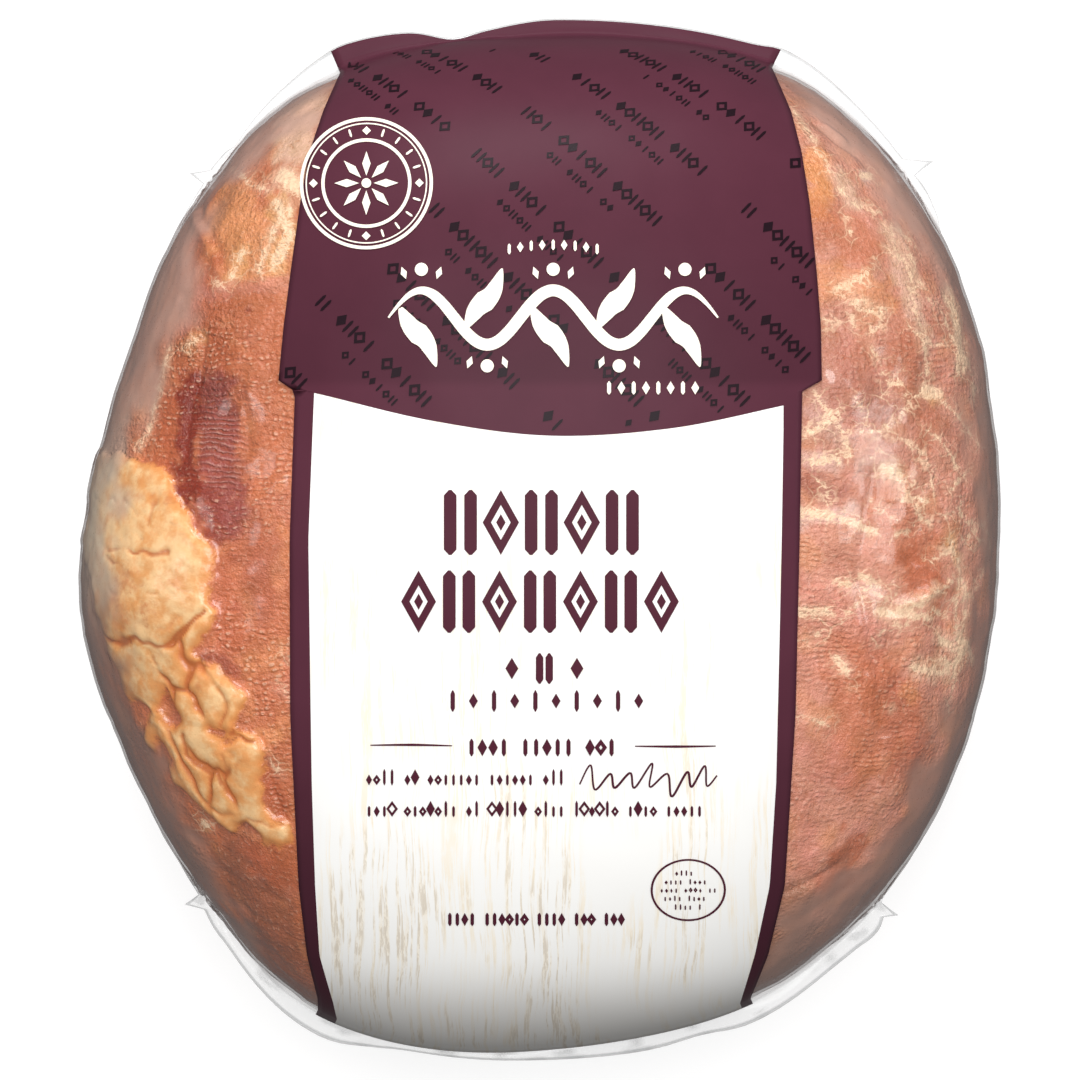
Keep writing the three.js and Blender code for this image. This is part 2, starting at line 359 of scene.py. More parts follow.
# Folds, seams and pits of the meat under the film: points, half width, rise.
MEAT_MARKS = (
    (((-78.2, 75.9), (-75.4, 69.5), (-72.2, 62.1)), 0.7, -0.9),
    (((-79.4, 75), (-76.8, 69), (-73.6, 62.1)), 1.2, 0.7),
    (((-82.3, 55.9), (-71.3, 55.7), (-57.5, 56.1)), 0.5, -0.35),
    (((-76.8, 46.5), (-78, 35.9), (-79.6, 31.7), (-80.5, 24.6), (-80.7, 18.9)), 0.7, -0.9),
    (((-84.4, 37.7), (-75.9, 36.3), (-67.6, 35.6)), 0.4, -0.4),
    (((-67.6, 35.6), (-66.9, 27.6), (-66.7, 19.3)), 0.4, -0.4),
    (((-68.3, -18.9),), 0.7, -0.8),
    (((-66, -23.2),), 0.6, -0.5),
    (((-67.4, -32),), 0.7, -0.6),
    (((-86.2, -36.8), (-83.7, -40.5)), 2.1, -0.9),
    (((-63.9, -44.9), (-62.1, -51.8), (-60.7, -57.5), (-57.5, -65.5)), 0.9, -0.7),
    (((-72, -40.5),), 0.7, -0.7),
    (((-73.1, -75.9), (-66.7, -79.6), (-58.4, -82.8)), 0.5, -0.35),
    (((-69, -83.3), (-63.9, -86.9), (-57, -90.2)), 0.5, -0.3),
    (((63.2, 95.7), (68.1, 91.3), (72.7, 88.3)), 0.6, -0.8),
    (((65.8, 94.8), (69.7, 91.5)), 0.8, 0.6),
    (((62.1, 75.4), (69, 75.7), (76.4, 75.2)), 0.3, -0.3),
    (((77.7, -44.6), (83, -43)), 0.5, -0.5),
    (((57.7, -66.7), (66.7, -64.6)), 0.5, -0.5),
    (((56.1, -80.7), (63.5, -77.3), (68.5, -74.3)), 0.7, -0.9),
    (((66.7, 10.6),), 1.4, -0.3),
    (((82.3, -6), (86.5, -4.6), (91.5, -3.7)), 0.4, -0.5),
    (((81.9, -8.7), (86.5, -7.6), (92.5, -6.4)), 0.4, -0.5),
    (((82.3, -11.5), (86.9, -10.6), (92.9, -8.7)), 0.4, -0.5),
    (((81.4, -15), (87.4, -13.3), (93.8, -9.7)), 0.6, 0.6),
    (((76.4, 16.1), (74.1, 4.6), (73.1, -9.2), (75, -23), (78.2, -36.8)), 0.7, -0.5),
)

# Cream streaks of fat and tissue over the meat: points, half width.
STREAKS = (
    (((63.2, 88.8), (65.8, 85.6), (66.5, 83.7), (69, 84.6)), 0.32),
    (((68.1, 80.7), (72.7, 76.6), (77.7, 75.2)), 0.37),
    (((73.6, 83.5), (75.7, 83.5)), 0.92),
    (((69.7, 75.2), (71.3, 69.7)), 0.28),
    (((80, 72.5), (81, 65.3)), 0.3),
    (((83.5, 68.5), (85.1, 63.7), (84.2, 61.2)), 0.3),
    (((81.7, 72), (86.2, 66.2)), 0.23),
    (((76.6, 63), (75, 60), (75, 58)), 0.35),
    (((67.6, 57), (71.3, 58.9), (74.5, 60.7)), 1.04),
    (((69.7, 54.7), (74.5, 52.4), (78.7, 52.9), (75.9, 47.1)), 0.46),
    (((70.6, 51.8), (71.8, 48.3)), 0.37),
    (((64.9, 50.4), (68.1, 49.7)), 0.32),
    (((85.1, 58.9), (85.8, 52.4), (88.1, 46)), 0.37),
    (((92.9, 56.4), (95.5, 49.2), (95.5, 38.2)), 0.78),
    (((94.3, 46), (97.1, 42.3), (99.1, 38.6)), 0.69),
    (((99.6, 35.4), (99.6, 31.5)), 0.6),
    (((88.3, 34), (91.1, 33.6)), 1.61),
    (((87.2, 45.3), (88.3, 41.9), (88.8, 38.2)), 0.41),
    (((79.6, 36.1), (82.1, 36.1)), 0.78),
    (((60.3, 23.9), (63.9, 25.8), (67.9, 28.5)), 1.04),
    (((61.9, 17.5), (65.8, 18.6), (70.4, 19.6)), 0.92),
    (((62.6, 33.4), (65.5, 29), (69, 24.6)), 0.51),
    (((69.5, 24.6), (78.4, 25.1), (81.7, 27.4), (84.9, 30.8)), 0.51),
    (((73.8, 17.9), (77.7, 20.2)), 0.25),
    (((78.2, 16.1), (82.1, 15.2), (81.7, 13.3)), 0.92),
    (((83, 9.2), (88.1, 9.2), (85.8, 7.4), (88.8, 4.1)), 0.6),
    (((83.5, 11.3), (85.8, 13.1)), 0.46),
    (((93.2, 11.3), (97.1, 15.4)), 0.46),
    (((81, 0.9), (85.8, 3)), 0.55),
    (((59.3, 6.4), (67.6, 5.1), (76.1, 1.8)), 1.04),
    (((95.9, 6.4), (98, 4.1), (102.1, 2.8), (103.5, -1.8)), 0.41),
    (((97.1, 0), (100.1, 2.3), (103, 5.5)), 0.35),
    (((98.4, -2.3), (100.7, 0), (103.5, 0.5)), 0.3),
    (((59.1, -16.3), (65.8, -16.3)), 1.06),
    (((68.5, -9.7), (70.8, -9.7)), 1.15),
    (((73.1, -7.8), (75.4, -9.2), (77.5, -10.3)), 0.78),
    (((67.2, -9.4), (68.1, -9.4)), 0.69),
    (((73.8, -11), (80.3, -13.6), (81, -10.6)), 0.41),
    (((81.4, -15), (87.4, -13.3), (93.8, -9.7)), 0.51),
    (((76.8, -16.1), (82.8, -17), (89.2, -17.9)), 0.97),
    (((89.7, -16.1), (93.4, -17.5)), 0.69),
    (((96.1, -8.7), (95.2, -18.4), (96.8, -24.8)), 0.37),
    (((95.5, -23), (98, -23.9), (99.6, -27.6)), 0.78),
    (((92.5, -27.1), (94.8, -29.4), (95.2, -31.3)), 0.74),
    (((85.3, -29), (90.4, -30.6)), 0.74),
    (((68.1, -27.1), (69.7, -29.9)), 1.04),
    (((59.1, -23), (65.8, -20.5)), 0.37),
    (((59.3, -39.8), (65.8, -42.3)), 0.32),
    (((89.7, -4.6), (94.8, -1.8), (98.4, 0)), 0.35),
    (((84, 48.3), (88.5, 44.9), (93.8, 44.9)), 0.3),
    (((78.2, 33.4), (84, 32.7), (88.5, 34)), 0.32),
    (((92, 32.2), (96.1, 27.6), (100.3, 21.6)), 0.32),
    (((88.5, 25.3), (92, 22.1), (95.5, 16.1)), 0.3),
    (((82.8, 23), (86.9, 20.2), (89.7, 16.1), (89.2, 11.5)), 0.35),
    (((90.9, 4.6), (94.3, 6.4), (96.6, 9.2)), 0.35),
    (((75.9, 43.7), (78.2, 39.6), (79.1, 35.9)), 0.28),
    (((71.3, 32.2), (74.1, 29), (74.1, 25.3)), 0.3),
    (((69, 23), (70.2, 20.2), (68.5, 17.9)), 0.3),
    (((75.4, 9.2), (78.2, 6.4), (81.2, 4.6)), 0.37),
    (((75.9, -23), (79.1, -20.2), (84, -18.9)), 0.32),
    (((68.5, -18.4), (71.3, -15.2), (74.1, -12.9)), 0.32),
    (((63.2, 13.8), (65.8, 9.2), (64.9, 6.4)), 0.28),
    (((94.3, -13.8), (99.4, -11.5), (102.1, -6.9)), 0.32),
    (((97.1, -27.6), (94.8, -34.5), (93.4, -39.6)), 0.28),
    (((79.6, 65.8), (82.8, 63.9), (84.6, 60.7), (87.9, 58)), 0.3),
    (((88.8, 55.2), (92, 52.4), (93.4, 48.3)), 0.3),
    (((-58.9, 83.3), (-56.1, 81.4), (-54.3, 79.1)), 1.61),
    (((-57.3, 75.4), (-57.3, 74.3)), 0.92),
    (((-61, 69), (-63.5, 63.2), (-64.2, 60.7)), 0.55),
    (((-73.4, 87.4), (-67.6, 82.8), (-62.6, 80)), 0.41),
    (((-74.1, 59.1), (-72.7, 58)), 0.51),
    (((-77.3, -64.9), (-76.1, -65.3)), 0.92),
    (((-58.4, -34.5), (-56.1, -36.8), (-55.2, -39.6)), 0.25),
    (((-58, -26.5), (-55.2, -28.1)), 0.37),
    (((-61.6, -50.6), (-59.3, -53.4)), 0.41),
)

# Patches of colour on the shown face: colour, points, reach, strength.
PATCHES = (
    ("rust", ((-74.8, 71.3), (-77, 55.2), (-78.2, 43.7)), 10.3, 0.45),
    ("pale", ((-54, 98.9), (-56, 90.5)), 7, 0.85),
    ("amber", ((-71, 75), (-66, 64)), 8, 0.75),
    ("tissue", ((-58.7, 82.8), (-55.2, 80.5)), 3.9, 0.85),
    ("amber", ((-69, 71.3), (-61, 66.7), (-58.7, 62.1)), 6.4, 0.6),
    ("tissue", ((-57.5, 77), (-58, 73.1), (-61, 70.2)), 1.8, 0.6),
    # These two gold patches are partly yellow bits of fat and partly painted glints on the rough meat.
    ("gold", ((-60, 77), (-57, 70), (-60.5, 63)), 3, 0.9),
    ("gold", ((-68, 66), (-70.5, 60)), 2.2, 0.7),
    ("rose", ((-81.9, 48.1), (-78, 55.7), (-66.5, 57.5), (-58.2, 58.2)), 2.1, 0.6),
    ("rose", ((-81.7, 66.7), (-79.4, 57.5)), 4.1, 0.5),
    ("rust", ((-72.5, 42.6), (-72.5, 38)), 5.1, 0.7),
    ("deep", ((-66.5, 52.4),), 0.9, 0.8),
    ("gold", ((-78.2, 46), (-81.4, 44.2)), 2.1, 0.55),
    ("orange", ((-62.1, 50.6), (-61, 32.2), (-61, 16.1)), 5, 0.8),
    ("mauve", ((-74.2, 33.5), (-73.6, 23), (-72.5, 13), (-71.5, 6)), 6.2, 1),
    ("rust", ((-84, 32.2), (-84.6, 23), (-85.2, 16.4)), 4, 0.95),
    ("deep", ((-79.6, 36), (-80.4, 23), (-80.8, 8)), 3, 1),
    ("deep", ((-80.7, 15.2), (-76, 7.2), (-73.8, 0.3)), 3.2, 0.75),
    ("rust", ((-73.1, -4.6), (-72.5, -13.8), (-71.3, -23)), 3.5, 0.75),
    ("mauve", ((-67.9, 4.6), (-63.9, -4.6), (-63.9, -13.8)), 6, 0.3),
    ("deep", ((-78.4, -29.4), (-74.8, -26.7), (-69.5, -29.4)), 1.6, 0.6),
    ("amber", ((-62.6, -44.9), (-64.9, -47.8)), 2.8, 0.7),
    ("rust", ((-63.9, -50.6), (-61, -57.5), (-58.7, -63.2)), 2.3, 0.85),
    ("brown", ((-67.9, -73.6), (-63.2, -82.8), (-58.7, -96.6), (-55.2, -105.8)), 8.3, 0.8),
    ("rust", ((-63.9, -71.3), (-58.7, -75.9)), 5.1, 0.7),
    ("orange", ((-80.5, -59.8), (-74.8, -67.9)), 2.8, 0.7),
    ("gold", ((-77.5, -64.9), (-76.6, -65.8)), 1.2, 0.7),
    ("tissue", ((-92, 20.7), (-89.2, 26.5), (-84.6, 43.7)), 1.4, 0.5),
    ("tissue", ((58, 98.4), (59.8, 96.1), (62.6, 91.5)), 1.2, 0.8),
    ("tan", ((63, 95.5), (68.8, 92.2), (72.7, 88.3)), 1.2, 0.8),
    ("amber", ((62.6, 86.2), (63.9, 80.5), (63.2, 76.4)), 3.9, 1),
    ("orange", ((64.4, 72.5), (71.3, 70.2), (73.6, 65.5)), 5.5, 0.6),
    ("pale", ((69, 82.8), (71.8, 78.2)), 2.8, 0.7),
    ("lilac", ((74.3, 83.5),), 1.4, 0.9),
    ("amber", ((66.7, 58.7), (73.6, 57.5), (78.2, 55.2)), 4.4, 0.6),
    ("tissue", ((71.3, 55.2), (78.2, 52.4)), 1.6, 0.55),
    ("pale", ((80.3, 70.2), (82.8, 64.4), (85.6, 55.2), (87.4, 46)), 3.2, 0.6),
    ("tissue", ((93.8, 57.5), (95.9, 49.5), (97.1, 39.6)), 2.5, 0.8),
    ("rose", ((71.3, 39.1), (75.9, 32.2), (69, 29.9)), 7.8, 0.55),
    ("orange", ((84, 46), (82.8, 39.1), (88.5, 25.3)), 4.1, 0.55),
    ("gold", ((90.2, 32.9),), 2.1, 0.9),
    ("tissue", ((89.7, 33.8),), 1.4, 0.8),
    ("lilac", ((62.6, 29.4), (65.5, 25.3), (68, 23.5)), 3, 0.55),
    ("lilac", ((61, 18.9), (66.7, 17.5)), 2.3, 0.7),
    ("tissue", ((79.6, 16.6), (81.2, 14.3)), 2.1, 0.75),
    ("mauve", ((61, 13.3), (66.7, 10.3)), 3.2, 0.6),
    ("lilac", ((59.3, 3.7), (65.5, 5.5), (71.3, 7.4)), 1.8, 0.85),
    ("orange", ((78.2, 6.9), (85.1, 0), (87.4, -9.2)), 6.9, 0.65),
    ("rust", ((84, -4.6), (90.9, -10.3)), 3.7, 0.6),
    ("gold", ((94.3, 0), (94.8, -3.7)), 1.6, 0.85),
    ("tissue", ((77.7, -17), (84, -16.1), (90.2, -11.5)), 2.1, 0.8),
    ("orange", ((91.5, -16.3),), 2.1, 0.9),
    ("tissue", ((95.7, -4.6), (97.3, -13.8), (96.6, -23)), 1.8, 0.5),
    ("tissue", ((92, -23), (97.1, -25.8), (93.2, -30.4), (86.2, -29.4)), 2.8, 0.75),
    ("tissue", ((59.8, -15.2), (65.5, -17.2)), 1.6, 0.85),
    ("lilac", ((71.3, -12), (75.4, -11)), 2.1, 0.6),
    ("gold", ((69.9, -9.9),), 1.2, 0.9),
    ("rose", ((62.1, -13.8), (71.3, -18.9), (74.1, -23)), 6, 0.6),
    ("lilac", ((68.1, -26.5), (70.2, -29.4)), 1.6, 0.9),
    ("gold", ((70.8, -34),), 1.4, 0.6),
    ("rust", ((78.2, -32.2), (82.8, -41.4), (84, -50.6)), 6.9, 0.65),
    ("amber", ((84.6, -34.5),), 2.5, 0.5),
    ("orange", ((70, -28), (73, -40), (72, -52)), 7, 0.7),
    ("rose", ((63.2, -47.1), (66.7, -52.9)), 5.1, 0.6),
    ("rust", ((71.3, -71.3), (67.2, -78.2)), 4.1, 0.7),
    ("tissue", ((80.5, -38.6),), 1.4, 0.6),
    ("rose", ((59.8, -59.8), (61, -73.6)), 3.2, 0.5),
    ("tan", ((57.5, -82.8), (55.2, -94.3), (50.6, -103.5)), 6, 0.8),
)

# Where the film stops clinging to the meat and the veil begins, the film's haze with a painted reflection
# and painted shade over the meat: y and x on the left and on the right.
LEFT_VEIL = (
    (110.4, -45.0), (96.6, -50.0), (86.2, -63.0), (79.0, -73.0), (73.0, -76.0), (62.1, -74.8),
    (55.2, -78.2), (46.0, -81.4), (36.8, -84.6), (27.6, -88.5), (20.7, -92.5), (9.2, -95.0),
    (-18.4, -95.8), (-36.8, -93.4), (-55.2, -84.6), (-71.3, -77.0), (-82.8, -69.5), (-94.3, -63.9),
    (-108.1, -55.2),
)
RIGHT_VEIL = (
    (110.4, 54.0), (94.3, 63.0), (85.1, 72.0), (73.6, 80.5), (59.8, 91.0), (43.7, 98.6),
    (25.3, 98.4), (9.2, 99.8), (-13.8, 98.9), (-32.2, 98.4), (-37.3, 92.5), (-46.9, 91.3),
    (-50.1, 86.0), (-60.3, 81.7), (-68.5, 77.3), (-74.3, 70.2), (-80.7, 59.8), (-94.3, 50.6),
    (-108.1, 36.8),
)

# How much darker the meat is made towards the top seal, and how much painted shade darkens it on the right
# shoulder.
TOP_DARKENING = 0.13
SHOULDER_SHADE = 0.16
SHOULDER = (74, 27)
SHOULDER_REACH = 22

# How much a step in height counts next to one in plan view, when a mark is laid on the skin.
DEPTH_SHARE = 0.5

# Marks that the sides and the back get, drawn by a seeded walk.
HIDDEN_SEED = 11
HIDDEN_STREAKS = 150
HIDDEN_LOBES = 16
HIDDEN_FOLDS = 20
HIDDEN_PATCHES = 90
HIDDEN_COLOURS = ("amber", "rust", "rose", "pale", "orange", "mauve", "amber", "rust", "deep")


def on_skin(points):
    """Plan view points of the shown face, laid on the skin."""
    flat = np.array(points, float)
    return np.column_stack([flat, skin_height(flat[:, 0], flat[:, 1], 0.0)])


def wandering(rng, steps, stride, highest=-0.03):
    """A walk over the skin below the seal plane, as points on it."""
    azimuth = rng.choice([0.0, math.pi]) + rng.uniform(-1.0, 1.0)
    height = rng.uniform(-0.72, highest - 0.02)
    heading = rng.uniform(0, 2 * math.pi)
    path = []
    for _ in range(steps):
        level = math.sqrt(max(1 - height * height, 0.02))
        path.append((level * math.cos(azimuth), level * math.sin(azimuth), height))
        heading += rng.normal(0, 0.5)
        azimuth += stride / 100 * math.cos(heading)
        height = float(np.clip(height + stride / 100 * math.sin(heading), -0.78, highest))
    return skin(np.array(path))


def distance_to(points, path, reach):
    """Distance of points from a path, with heights counted less; far points are left at infinity."""
    stretch = np.array([1.0, 1.0, DEPTH_SHARE])
    near, path = points * stretch, path * stretch
    low, high = path.min(0) - reach, path.max(0) + reach
    found = np.full(len(points), np.inf)
    inside = np.flatnonzero(np.all((near >= low) & (near <= high), axis=1))
    if len(inside) == 0:
        return found
    here = near[inside]
    best = np.full(len(inside), np.inf)
    for a, b in zip(path, path[1:] if len(path) > 1 else path):
        along = b - a
        length = max(float(along @ along), 1e-9)
        share = np.clip((here - a) @ along / length, 0, 1)
        best = np.minimum(best, np.linalg.norm(here - a - share[:, None] * along, axis=1))
    found[inside] = best
    return found


def depth_in(outline, points):
    """How far inside a plan view outline each point of the shown face lies, below 0 outside."""
    corners = spline(outline, 6 * len(outline), closed=True)[:-1]
    found = np.full(len(points), -50.0)
    low, high = corners.min(0) - 8, corners.max(0) + 8
    flat = points[:, :2]
    near = np.flatnonzero(np.all((flat >= low) & (flat <= high), axis=1))
    here = flat[near]
    inside = np.zeros(len(near), bool)
    best = np.full(len(near), np.inf)
    for a, b in zip(corners, np.roll(corners, -1, axis=0)):
        along = b - a
        share = np.clip((here - a) @ along / (along @ along), 0, 1)
        best = np.minimum(best, np.linalg.norm(here - a - share[:, None] * along, axis=1))
        crosses = (a[1] > here[:, 1]) != (b[1] > here[:, 1])
        rise = along[1] if along[1] != 0 else 1e-9
        inside ^= crosses & (here[:, 0] < a[0] + (here[:, 1] - a[1]) * along[0] / rise)
    found[near] = np.where(inside, best, -best)
    return np.minimum(found, DEPTH_SHARE * (points[:, 2] + CAP_DEPTH))


def domed(depth, height, rounding):
    """A plateau's rise at a depth inside its outline, with a rounded edge."""
    share = np.clip(depth / rounding, 0, 1)
    return height * np.sqrt(np.clip(1 - (1 - share) ** 2, 0, 1))


def marks():
    """All marks as paths on the skin: lobes, creases, folds of the meat, streaks and patches."""
    rng = np.random.default_rng(HIDDEN_SEED)
    lobes = [(on_skin(p), w, h) for p, w, h in FAT_LOBES]
    hidden = []
    streaks = [(on_skin(spline(p, 4 * len(p))), w) for p, w in STREAKS]
    meat = [(on_skin(p), w, h) for p, w, h in MEAT_MARKS]
    creases = [(on_skin(p), w, h) for p, w, h in FAT_CREASES]
    patches = [(name, on_skin(p), r, s) for name, p, r, s in PATCHES]
    for _ in range(HIDDEN_STREAKS):
        streaks.append((wandering(rng, rng.integers(3, 7), 3.5, -0.2), rng.uniform(0.25, 1.0)))
    for _ in range(HIDDEN_LOBES):
        hidden.append((wandering(rng, 4, 4.0, -0.22), rng.uniform(2.4, 5.2), rng.uniform(0.8, 1.6)))
    for _ in range(HIDDEN_FOLDS):
        meat.append((wandering(rng, 5, 6.0), rng.uniform(0.4, 0.9), -rng.uniform(0.3, 0.8)))
    for _ in range(HIDDEN_PATCHES):
        reach = rng.uniform(2, 9)
        colour = HIDDEN_COLOURS[rng.integers(len(HIDDEN_COLOURS))]
        path = wandering(rng, 4, 6.0, -0.38)
        patches.append((colour, path, min(reach, 3.0) if colour == "deep" else reach,
                        rng.uniform(0.4, 0.9)))
    recesses = [(on_skin(p), w) for p, w in FAT_RECESSES]
    return {"recesses": recesses, "lobes": lobes, "hidden": hidden, "streaks": streaks,
            "meat": meat, "creases": creases, "patches": patches}


def fat_form(points, found):
    """How deep in the fat each point is, its rise, how near a crest and how near a crease."""
    ragged = points.copy()
    ragged[:, 0] += 0.9 * waves(points, 6, 74) + 0.35 * waves(points, 2.4, 76)
    ragged[:, 1] += 0.9 * waves(points, 6, 75) + 0.35 * waves(points, 2.4, 77)
    outer = depth_in(FAT_OUTLINE, ragged)
    for path, width in found["recesses"]:
        outer = np.minimum(outer, distance_to(ragged, path, width + 12) - width)
    first = -depth_in(FAT_CAP, ragged)
    second = np.full(len(points), 60.0)
    for path, width, _ in found["lobes"]:
        away = distance_to(ragged, path, 16) - width
        second = np.minimum(second, np.maximum(first, away))
        first = np.minimum(first, away)
    gap = (second - first) / 2
    parted = smooth(-0.9, 0.5, waves(points, 7, 73))
    crest = domed(np.minimum(gap + 1.6 * (1 - parted), outer), 1.0, FAT_ROUNDING)
    rise = domed(outer, FAT_HEIGHT, FAT_ROUNDING) + LOBE_HEIGHT * crest * (outer > 0)
    crease = 0.75 * parted * bell(gap, 0.5) * smooth(0.2, 1.2, outer)
    for path, width, height in found["hidden"]:
        away = distance_to(ragged, path, width + 6) + 0.9 * waves(points, 4.5, 78)
        mound = np.clip(1 - (np.maximum(away, 0) / (1.15 * width)) ** 2, 0, 1) ** 0.6
        rise = np.maximum(rise, 0.6 * height * mound)
        crest = np.maximum(crest, 1.2 * mound)
        outer = np.maximum(outer, width - away)
    for path, width, depth in found["creases"]:
        cut = depth * bell(distance_to(ragged, path, 3 * width + 0.5), width)
        crease = np.maximum(crease, cut * (0.75 + 0.25 * parted))
    return outer, rise, crest, crease


def groove(points, paths):
    """The summed rise of ridges and creases about paths."""
    total = np.zeros(len(points))
    for path, width, rise in paths:
        total += rise * bell(distance_to(points, path, 3 * width + 0.5), width)
    return total


def veil_share(points):
    """Where the film is dulled by its haze and by a painted reflection and painted shade: past its lines on
    the shown face and all round the rim.
    """
    ragged = 2.0 * waves(points, 8, 41) + 1.0 * waves(points, 3, 42)
    share = np.zeros(len(points))
    for line, side in ((LEFT_VEIL, -1), (RIGHT_VEIL, 1)):
        rows = np.array(line)[::-1]
        edge = np.interp(points[:, 1], rows[:, 0], rows[:, 1])
        past = side * (points[:, 0] - edge) + ragged
        share = np.maximum(share, smooth(-2.5, 5.0, past))
    # Below the seal plane the veil, with its painted shade, runs as a band round the rim.
    hidden = bell(np.maximum(-points[:, 2] - 1 + ragged, 0), 8.0)
    return np.where(points[:, 2] >= 0, share, hidden)


def painted_meat(points, look, patches):
    """The meat's colour at each point, as linear numbers."""
    side = smooth(-12, 12, points[:, 0] + 9 * waves(points, 30, 61))
    hidden = smooth(0.2, 0.8, 0.5 + 0.6 * waves(points, 22, 62))
    side = np.where(points[:, 2] >= 0, side, side + (hidden - side) * smooth(0, 20, -points[:, 2]))
    colour = np.outer(1 - side, look["orange"]) + np.outer(side, look["pink"])
    blotch = smooth(0.1, 1.1, waves(points, 7, 63))[:, None] * 0.3
    colour += blotch * (np.array(look["rose"]) - colour)
    blotch = smooth(0.2, 1.2, waves(points, 5, 64))[:, None] * 0.35
    colour += blotch * (np.array(look["amber"]) - colour)
    coarse, fine = waves(points, 3.2, 65), waves(points, 1.6, 66)
    for name, path, reach, strength in patches:
        away = distance_to(points, path, 2 * reach + 1)
        near = np.flatnonzero(np.isfinite(away))
        frayed = away[near] + min(0.4 * reach, 1.6) * (0.7 * coarse[near] + 0.5 * fine[near])
        if name in ("tissue", "gold"):
            strength = 0.45 * strength
        share = strength * smooth(1.25 * reach, 0.5 * reach, frayed)
        colour[near] += share[:, None] * (np.array(look[name]) - colour[near])
    # Darker towards the top seal; on the right shoulder this is painted shade.
    shoulder_shade = bell(plan_distance(points, *SHOULDER), SHOULDER_REACH)
    darkening = TOP_DARKENING * smooth(5, 35, points[:, 1]) * (points[:, 2] > 0)
    darkening += SHOULDER_SHADE * shoulder_shade * (points[:, 2] > 0)
    return colour * (1 - darkening)[:, None]


# ---- Small helpers for meshes --------------------------------------------------------------------


def deselect():
    if bpy.context.object and bpy.context.object.mode != "OBJECT":
        bpy.ops.object.mode_set(mode="OBJECT")
    bpy.ops.object.select_all(action="DESELECT")


def coordinates(piece):
    points = np.empty(len(piece.data.vertices) * 3)
    piece.data.vertices.foreach_get("co", points)
    return points.reshape(-1, 3)


def reshape(piece, points):
    piece.data.vertices.foreach_set("co", np.asarray(points, float).ravel())
    piece.data.update()


def activate(piece):
    """Makes the piece the active one and the only selected one."""
    deselect()
    piece.select_set(True)
    bpy.context.view_layer.objects.active = piece


def apply_modifier(piece, kind, **settings):
    activate(piece)
    modifier = piece.modifiers.new(kind.title(), kind)
    for name, value in settings.items():
        setattr(modifier, name, value)
    bpy.ops.object.modifier_apply(modifier=modifier.name)


def started(name):
    """The primitive that was just added, named and with its place in its mesh."""
    piece = bpy.context.object
    piece.name = name
    piece.data.name = name
    bpy.ops.object.transform_apply(location=True, rotation=True, scale=True)
    return piece


def edited(piece, faces, wanted, operator, **settings):
    """Runs an edit mode operator on the wanted faces, or else edges, given as a mask over them."""
    activate(piece)
    bpy.context.tool_settings.mesh_select_mode = (False, not faces, faces)
    bpy.ops.object.mode_set(mode="EDIT")
    bpy.ops.mesh.select_all(action="DESELECT")
    bpy.ops.object.mode_set(mode="OBJECT")
    items = piece.data.polygons if faces else piece.data.edges
    items.foreach_set("select", wanted)
    bpy.ops.object.mode_set(mode="EDIT")
    operator(**settings)
    bpy.ops.object.mode_set(mode="OBJECT")


def subdivided(piece, wanted):
    """Cuts the wanted faces into four."""
    edited(piece, True, wanted, bpy.ops.mesh.subdivide, number_cuts=1)


def face_middles(piece):
    middles = np.empty(len(piece.data.polygons) * 3)
    piece.data.polygons.foreach_get("center", middles)
    return middles.reshape(-1, 3)


def shaded_smooth(piece):
    piece.data.polygons.foreach_set("use_smooth", np.ones(len(piece.data.polygons), bool))
    piece.data.update()


def store(piece, name, values):
    layer = piece.data.attributes.new(name, "FLOAT", "POINT")
    layer.data.foreach_set("value", np.asarray(values, np.float32))


def store_colour(piece, name, colours):
    layer = piece.data.attributes.new(name, "FLOAT_COLOR", "POINT")
    full = np.column_stack([colours, np.ones(len(colours))])
    layer.data.foreach_set("color", full.astype(np.float32).ravel())


def vertex_normals(piece):
    normals = np.empty(len(piece.data.vertices) * 3, np.float32)
    piece.data.vertex_normals.foreach_get("vector", normals)
    return normals.reshape(-1, 3).astype(float)


# ---- Materials -----------------------------------------------------------------------------------


